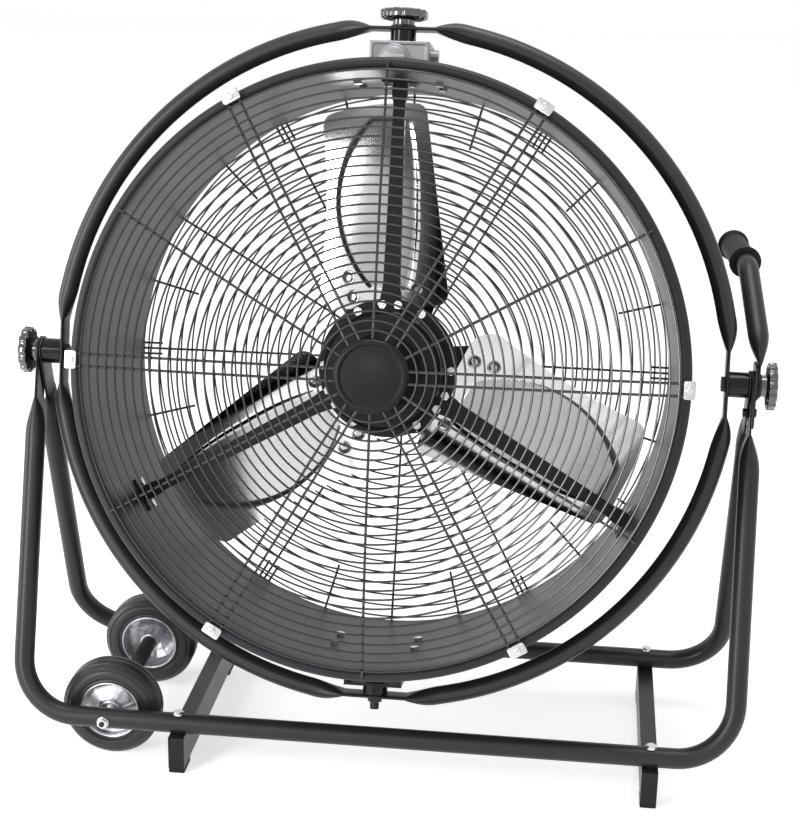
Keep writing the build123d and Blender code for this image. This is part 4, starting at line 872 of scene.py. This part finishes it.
def make_drum():
    """The rolled sheet barrel with a round bead at each rim."""
    wall = [i / WALL_STEPS for i in range(WALL_STEPS + 1)]
    profile = [(BORE_RADIUS, mixed(FRONT_RIM, REAR_RIM, share)) for share in wall]
    profile += bead_arc(REAR_RIM, 180)
    profile += [(DRUM_OUTER, mixed(REAR_RIM, FRONT_RIM, share)) for share in wall[1:-1]]
    profile += bead_arc(FRONT_RIM, BEAD_SWEEP - 180)
    place = HEAD @ along_axis((0, 0, 0), (0, 1, 0), (1, 0, 0))
    shape = Shape()
    shape.revolve(profile[:-1], steps=216, place=place, closed=True)
    shape.finish("rolled_barrel", "drum", "drum_paint", "drum_shell", sharp=50)


def rounded_box(half_x, half_z, corner, steps=7):
    """Outline of a rectangle with round corners."""
    points = []
    for i, (x, z) in enumerate(((1, 1), (-1, 1), (-1, -1), (1, -1))):
        for k in range(steps + 1):
            turn = math.pi / 2 * (i + k / steps)
            points.append((x * (half_x - corner) + corner * math.cos(turn),
                           z * (half_z - corner) + corner * math.sin(turn)))
    return points


def slab(shape, levels, half_x, half_z, corner, place):
    """Stacked rounded rectangles: each level is (height, inset)."""
    rings = []
    for height, inset in levels:
        outline = rounded_box(half_x - inset, half_z - inset, max(corner - inset, 0.0006))
        rings.append([(x, z, height) for x, z in outline])
    shape.skin(rings, place=place)


def make_cover():
    """The pressed cover with a raised rim, in front of the top bracket."""
    place = HEAD @ along_axis((0, BOX_FACE, BOX_TOP - BOX_RISE / 2), (0, -1, 0), (1, 0, 0))
    shape = Shape()
    slab(shape, COVER_LEVELS, BOX_HALF, BOX_RISE / 2, BOX_CORNER, place)
    shape.finish("pressed_cover", "drum", "cover_grey", "switch_cover")


def make_dial():
    """A round dial: flat skirt, domed turning part and a pointer ridge."""
    place = HEAD @ along_axis((DIAL_SPOT[0], BOX_FACE - DIAL_SEAT, DIAL_SPOT[1]), (0, -1, 0), (1, 0, 0))
    shape = Shape()
    shape.revolve(DIAL_PROFILE, steps=72, place=place)
    slab(shape, RIDGE_LEVELS, *RIDGE_HALVES, place)
    shape.finish("speed_knob", "dial", "cover_grey", "speed_dial")


def make_badge():
    """A bare round plate with a broad rounded rim."""
    seat = dome_height(FRONT_INNER, FRONT_DOME) + RING_WIRE / 2
    place = grille_places()[0] @ Matrix.Translation((0, 0, seat))
    shape = Shape()
    shape.revolve(BADGE_PROFILE, steps=96, place=place)
    shape.finish("bare_badge", "drum", "badge_plastic", "badge", sharp=30)


# ---- clips, screws and rivets ----
def add_dome(shape, radius, height, place):
    """A rounded screw head with a small dimple in its middle."""
    profile = [(radius * share, height * rise) for share, rise in SCREW_SHARES]
    shape.revolve(profile, steps=28, place=place)


def make_clips():
    """Bent sheet clips with rounded corners that hold the rods on the bead, and their screws."""
    screws = Shape()
    for side, rim in zip(("front", "rear"), grille_places()):
        shape = Shape()
        for angle in CLIP_PLACES:
            turn = rim @ Matrix.Rotation(math.radians(angle), 4, "Z")
            spot = turn @ Matrix.Translation((CLIP_RADIUS, 0, CLIP_RISE))
            slab(shape, CLIP_LEVELS, *CLIP_HALVES, spot)
            add_dome(screws, *CLIP_SCREW, spot @ Matrix.Translation((0, 0, CLIP_SHEET)))
        shape.finish(side + "_rod_clips", "drum", "zinc_fastener", side + "_clips")
    screws.finish("clip_screw_heads", "drum", "zinc_fastener", "clip_screws")


def make_rivets():
    """Large rivet heads on the blades' roots."""
    shape = Shape()
    for spin in fan_turns():
        for x, z in RIVET_PLACES:
            face = Vector((x, blade_face(x, z), z))
            along_x = Vector((0.001, blade_face(x + 0.001, z) - face.y, 0))
            along_z = Vector((0, blade_face(x, z + 0.001) - face.y, 0.001))
            outwards = along_x.cross(along_z).normalized()
            if outwards.y > 0:
                outwards = -outwards
            spot = spin @ along_axis(face, outwards, (1, 0, 0))
            shape.revolve(RIVET_PROFILE, steps=36, place=spot)
    shape.finish("rivet_heads", "fan", "zinc_fastener", "blade_rivets")


# ---- fan ----
def fan_turns():
    """Placements of the blades: x across, y to the rear, z out along the blade."""
    return [HEAD @ Matrix.Rotation(math.radians(120 * i), 4, "Y") for i in range(3)]


def blade_face(x, z):
    pitch = math.radians(mixed(ROOT_PITCH, TIP_PITCH, z / PITCH_LENGTH))
    centre_x = -CAMBER * math.sin(pitch)
    centre_y = BLADE_Y - CAMBER * math.cos(pitch)
    return centre_y + math.sqrt(CAMBER ** 2 - (x - centre_x) ** 2)


def arc_offset(z, low, high, middle, ends):
    """x on an arc through its two ends' level and its middle, at a height between low and high."""
    half = (high - low) / 2
    rise = middle - ends
    if abs(rise) < 1e-6:
        return ends
    radius = (half ** 2 + rise ** 2) / (2 * abs(rise))
    off = z - (low + high) / 2
    return middle - math.copysign(radius - math.sqrt(max(radius ** 2 - off ** 2, 0)), rise)


def tip_at(x):
    """Height of the blade's round tip."""
    return math.sqrt(BLADE_TIP ** 2 - x ** 2)


def blade_runs():
    """The blade's outline in four runs, corner to corner: left edge, root, right edge and tip."""
    shares = [i / OUTLINE_STEPS for i in range(OUTLINE_STEPS + 1)]
    low, high = BLADE_LEFT_ROOT, tip_at(BLADE_LEFT)
    heights = [mixed(high, low, share) for share in shares]
    left = [(arc_offset(z, low, high, BLADE_LEFT_MIDDLE, BLADE_LEFT), z) for z in heights]
    root = [(mixed(BLADE_LEFT, BLADE_RIGHT, share), mixed(low, BLADE_RIGHT_ROOT, share)) for share in shares]
    right = [(mixed(BLADE_RIGHT, BLADE_RIGHT_TIP, share),
              mixed(BLADE_RIGHT_ROOT, tip_at(BLADE_RIGHT_TIP), share)) for share in shares]
    across = [mixed(BLADE_RIGHT_TIP, BLADE_LEFT, share) for share in shares]
    tip = [(x, tip_at(x)) for x in across]
    return [[Vector(point) for point in run] for run in (left, root, right, tip)]


def blade_outline():
    """The outline with its corners rounded."""
    runs = blade_runs()
    radii = (LOBE_CORNER, BLADE_CORNER, BLADE_CORNER, BLADE_CORNER)
    arcs = [corner_arc(run[-4], run[-1], after[3], radius, CORNER_STEPS)
            for run, after, radius in zip(runs, runs[1:] + runs[:1], radii)]
    outline = []
    for i, run in enumerate(runs):
        start, (end, arc) = arcs[i - 1][0], arcs[i]
        outline += [point for point in run
                    if (point - run[0]).length > start and (point - run[-1]).length > end]
        outline += arc
    return outline


def span_at(outline, z):
    """Leftmost and rightmost x of the outline at a height."""
    crossings = []
    for first, second in zip(outline, outline[1:] + outline[:1]):
        if (first.y - z) * (second.y - z) <= 0 and first.y != second.y:
            crossings.append(first.x + (second.x - first.x) * (z - first.y) / (second.y - first.y))
    return min(crossings), max(crossings)


def leaf_rise(x, z):
    """How far the embossed leaf stands out of the blade's face."""
    low, high = LEAF_ENDS
    share = (z - low) / (high - low)
    if not 0 < share < 1:
        return 0.0
    lean = LEAF_LEAN * (0.5 - share)
    left = arc_offset(z, low, high, LEAF_LEFT, LEAF_LEFT_END) + lean
    right = arc_offset(z, low, high, LEAF_RIGHT, LEAF_RIGHT_END) + LEAF_SKEW * abs(lean) * (share < 0.5)
    edge = min(x - left, right - x, (z - low) * LEAF_SLOPE, (high - z) * LEAF_SLOPE)
    return LEAF_RISE * smooth(edge / LEAF_EDGE)


def eased(share, ease):
    """A share of a run whose steps are closer near both ends."""
    return ease * (1 - math.cos(math.pi * share)) / 2 + (1 - ease) * share


def blade_rings():
    """Sections across the blade; sections and their points are closer near the blade's edges."""
    outline = blade_outline()
    low, high = min(point.y for point in outline), max(point.y for point in outline)
    rings = []
    for i in range(BLADE_ROWS):
        z = mixed(low + ROW_INSET, high - ROW_INSET, eased(i / (BLADE_ROWS - 1), ROW_EASE))
        left, right = span_at(outline, z)
        near = []
        for k in range(BLADE_COLUMNS):
            x = mixed(left, right, eased(k / (BLADE_COLUMNS - 1), COLUMN_EASE))
            near.append((x, blade_face(x, z) - leaf_rise(x, z), z))
        rings.append(near + [(x, y + BLADE_SHEET, z) for x, y, z in reversed(near)])
    return rings


def make_blades():
    rings = blade_rings()
    for number, spin in enumerate(fan_turns(), 1):
        shape = Shape()
        shape.skin(rings, place=spin)
        piece = shape.finish(f"polished_blade_{number}", "fan", "blade_metal", f"blade_{number}", sharp=50)
        # The embossed leaf gets a darker copy of the blade metal: painted reflection
        second_finish(piece, "painted_reflection_leaf_metal", spin, lambda spot: leaf_rise(spot.x, spot.z) > PAINTED_REFLECTION_RISE)


# ---- motor arms ----
def arm_share(out, low, high):
    """Width of an arm against its ends' width, at a distance out from the motor's axis."""
    near = smooth((low + ARM_FLARE - out) / ARM_FLARE)
    far = smooth((out - high + ARM_FOOT) / ARM_FOOT_EASE)
    return mixed(ARM_WAIST, 1.0, max(near, far))


def make_arms():
    """The pressed arms, drawn in between their two ends."""
    for node in ("motor_arm_top", "motor_arm_left", "motor_arm_right"):
        solid = bmesh.new()
        solid.from_mesh(frame["nodes"][node].data)
        bmesh.ops.transform(solid, matrix=HEAD.inverted(), verts=solid.verts)
        bmesh.ops.remove_doubles(solid, verts=solid.verts, dist=1e-6)
        middle = sum((vertex.co for vertex in solid.verts), Vector()) / len(solid.verts)
        third = round(math.degrees(math.atan2(middle.x, middle.z)) / 120)
        turn = Matrix.Rotation(math.radians(120 * third), 4, "Y")
        bmesh.ops.transform(solid, matrix=turn.inverted(), verts=solid.verts)
        heights = [vertex.co.z for vertex in solid.verts]
        low, high = min(heights), max(heights)
        for i in range(1, ARM_CUTS):
            level = mixed(low, high, i / ARM_CUTS)
            bmesh.ops.bisect_plane(solid, geom=solid.verts[:] + solid.edges[:] + solid.faces[:], dist=1e-6,
                                   plane_co=(0, 0, level), plane_no=(0, 0, 1))
        for vertex in solid.verts:
            vertex.co.x *= arm_share(vertex.co.z, low, high)
        solid.verts.index_update()
        shape = Shape()
        faces = [[vertex.index for vertex in face.verts] for face in solid.faces]
        shape.add([vertex.co for vertex in solid.verts], faces, HEAD @ turn)
        solid.free()
        shape.finish("pressed_" + node, "drum", "motor_paint", node, sharp=30)


# ---- wheels ----
def make_wheel(name, side):
    """A solid rubber tyre with ribs on its tread, on a dished galvanised hub."""
    middle = [(a + b) / 2 for a, b in zip(*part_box(name + "_tyre"))]
    place = along_axis(middle, (0, side, 0), (1, 0, 0))
    profile = list(TYRE_EDGE) + [(radius, -z) for radius, z in reversed(TYRE_EDGE)]
    shape = Shape()
    shape.revolve(profile, steps=120, place=place, closed=True)
    shape.finish(name + "_rubber_tyre", name + "_wheel", "tyre_rubber", name + "_tyre", sharp=34)
    make_hub(name, place)


def make_hub(name, place):
    """A pressed hub; the ring of its face between the boss and the rim swells in soft ribs."""
    rings, (inner, outer) = [], HUB_WEB
    for radius, z in HUB_FACE + HUB_BACK:
        swell = HUB_SWELL * smooth((radius - inner) / HUB_EASE) * smooth((outer - radius) / HUB_EASE)
        ring = []
        for turn in circle(HUB_STEPS):
            lift = swell * (smooth((math.cos(HUB_RIBS * turn) + 0.2) / 0.8) - 0.5) if z > 0 else 0.0
            ring.append((radius * math.cos(turn), radius * math.sin(turn), z + lift))
        rings.append(ring)
    shape = Shape()
    shape.skin(rings, closed=True, place=place)
    shape.finish(name + "_pressed_hub", name + "_wheel", "hub_steel", name + "_wheel_hub", sharp=34)


def add_hex(shape, half_flats, low, high, place):
    """A hexagon prism with its edges broken at the top."""
    soft = (high - low) * HEX_EDGE
    levels = ((half_flats, low), (half_flats, high - soft), (half_flats - soft, high))
    corners = [(half / math.cos(math.pi / 6), z) for half, z in levels]
    shape.revolve(corners, steps=6, place=place)


def make_axle():
    """The axle with a washer, a nut and a threaded end at the front tube."""
    low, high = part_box("wheel_axle")
    x, z = (low[0] + high[0]) / 2, (low[2] + high[2]) / 2
    front = along_axis((x, low[1] + AXLE_HEAD, z), (0, -1, 0), (0, 0, 1))
    length = high[1] - low[1] - AXLE_HEAD
    shape = Shape()
    shaft = [(PIN_CORE, -length), (AXLE_RADIUS - PIN_EDGE, -length), (AXLE_RADIUS, PIN_EDGE - length),
             (AXLE_RADIUS, -AXLE_SEAT), (AXLE_RADIUS, 0.0), (PIN_CORE, 0.0)]
    shape.revolve(shaft, steps=40, place=front)
    shape.revolve(AXLE_WASHER, steps=40, place=front)
    add_hex(shape, AXLE_NUT_HALF, *AXLE_NUT_ENDS, front)
    shape.finish("threaded_axle", "stand", "zinc_fastener", "wheel_axle", sharp=28)
    shape = Shape()
    shape.revolve(THREAD_PROFILE, steps=24, place=front)
    shape.finish("axle_thread", "stand", "black_fastener")


def make_tilt_bolts():
    """The bolts of the tilt axis, with their low heads inside the hoop."""
    low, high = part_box("tilt_bolts")
    seat = PAD_RADIUS - PAD_THIN / 2
    shape = Shape()
    for side, reach in ((-1, pivot.x - low[0]), (1, high[0] - pivot.x)):
        place = HEAD @ along_axis((side * seat, 0, 0), (-side, 0, 0), (0, 0, 1))
        add_hex(shape, TILT_HEAD_HALF, 0.0, TILT_HEAD_HEIGHT, place)
        end = seat - reach
        shank = [(PIN_CORE, end), (TILT_BOLT - PIN_EDGE, end), (TILT_BOLT, end + PIN_EDGE),
                 (TILT_BOLT, 0.0), (PIN_CORE, 0.0)]
        shape.revolve(shank, steps=32, place=place)
    shape.finish("low_head_bolts", "tilting_hoop", "black_fastener", "tilt_bolts", sharp=28)


def make_lock_nut():
    """The blackened nut under the hoop, with the rounded end of the pivot bolt."""
    own = HEAD.inverted()
    spots = [own @ vertex.co for vertex in frame["nodes"]["bottom_lock_nut"].data.vertices]
    top = max(spot.z for spot in spots)
    height = top - min(spot.z for spot in spots)
    place = HEAD @ along_axis((0, 0, top), (0, 0, -1), (1, 0, 0))
    shape = Shape()
    add_hex(shape, LOCK_NUT_HALF, 0.0, height * NUT_SHARE, place)
    start = height * BOLT_SHARE
    shank = [(PIN_CORE, start), (LOCK_BOLT, start), (LOCK_BOLT, height - PIN_EDGE),
             (LOCK_BOLT - PIN_EDGE, height), (PIN_CORE, height)]
    shape.revolve(shank, steps=32, place=place)
    shape.finish("bolt_nut_below", "drum", "black_fastener", "bottom_lock_nut", sharp=28)


make_camera()
make_lights()
make_world()
make_floor()
materials = {name: surface(name, **look) for name, look in LOOKS.items()}
dress_nodes()
make_grilles()
make_hoop()
make_loop(-1, STRAP_MIDDLE + STRAP_THIN / 2, "front_tube_loop", "front_loop")
make_loop(1, STRAP_MIDDLE - STRAP_THIN / 2, "rear_tube_loop", "rear_loop")
make_handle()
make_knobs()
make_drum()
make_cover()
make_dial()
make_badge()
make_clips()
make_blades()
make_rivets()
make_wheel("near", -1)
make_wheel("far", 1)
make_axle()
make_tilt_bolts()
make_lock_nut()
make_arms()

bpy.context.scene.view_settings.view_transform = "Standard"
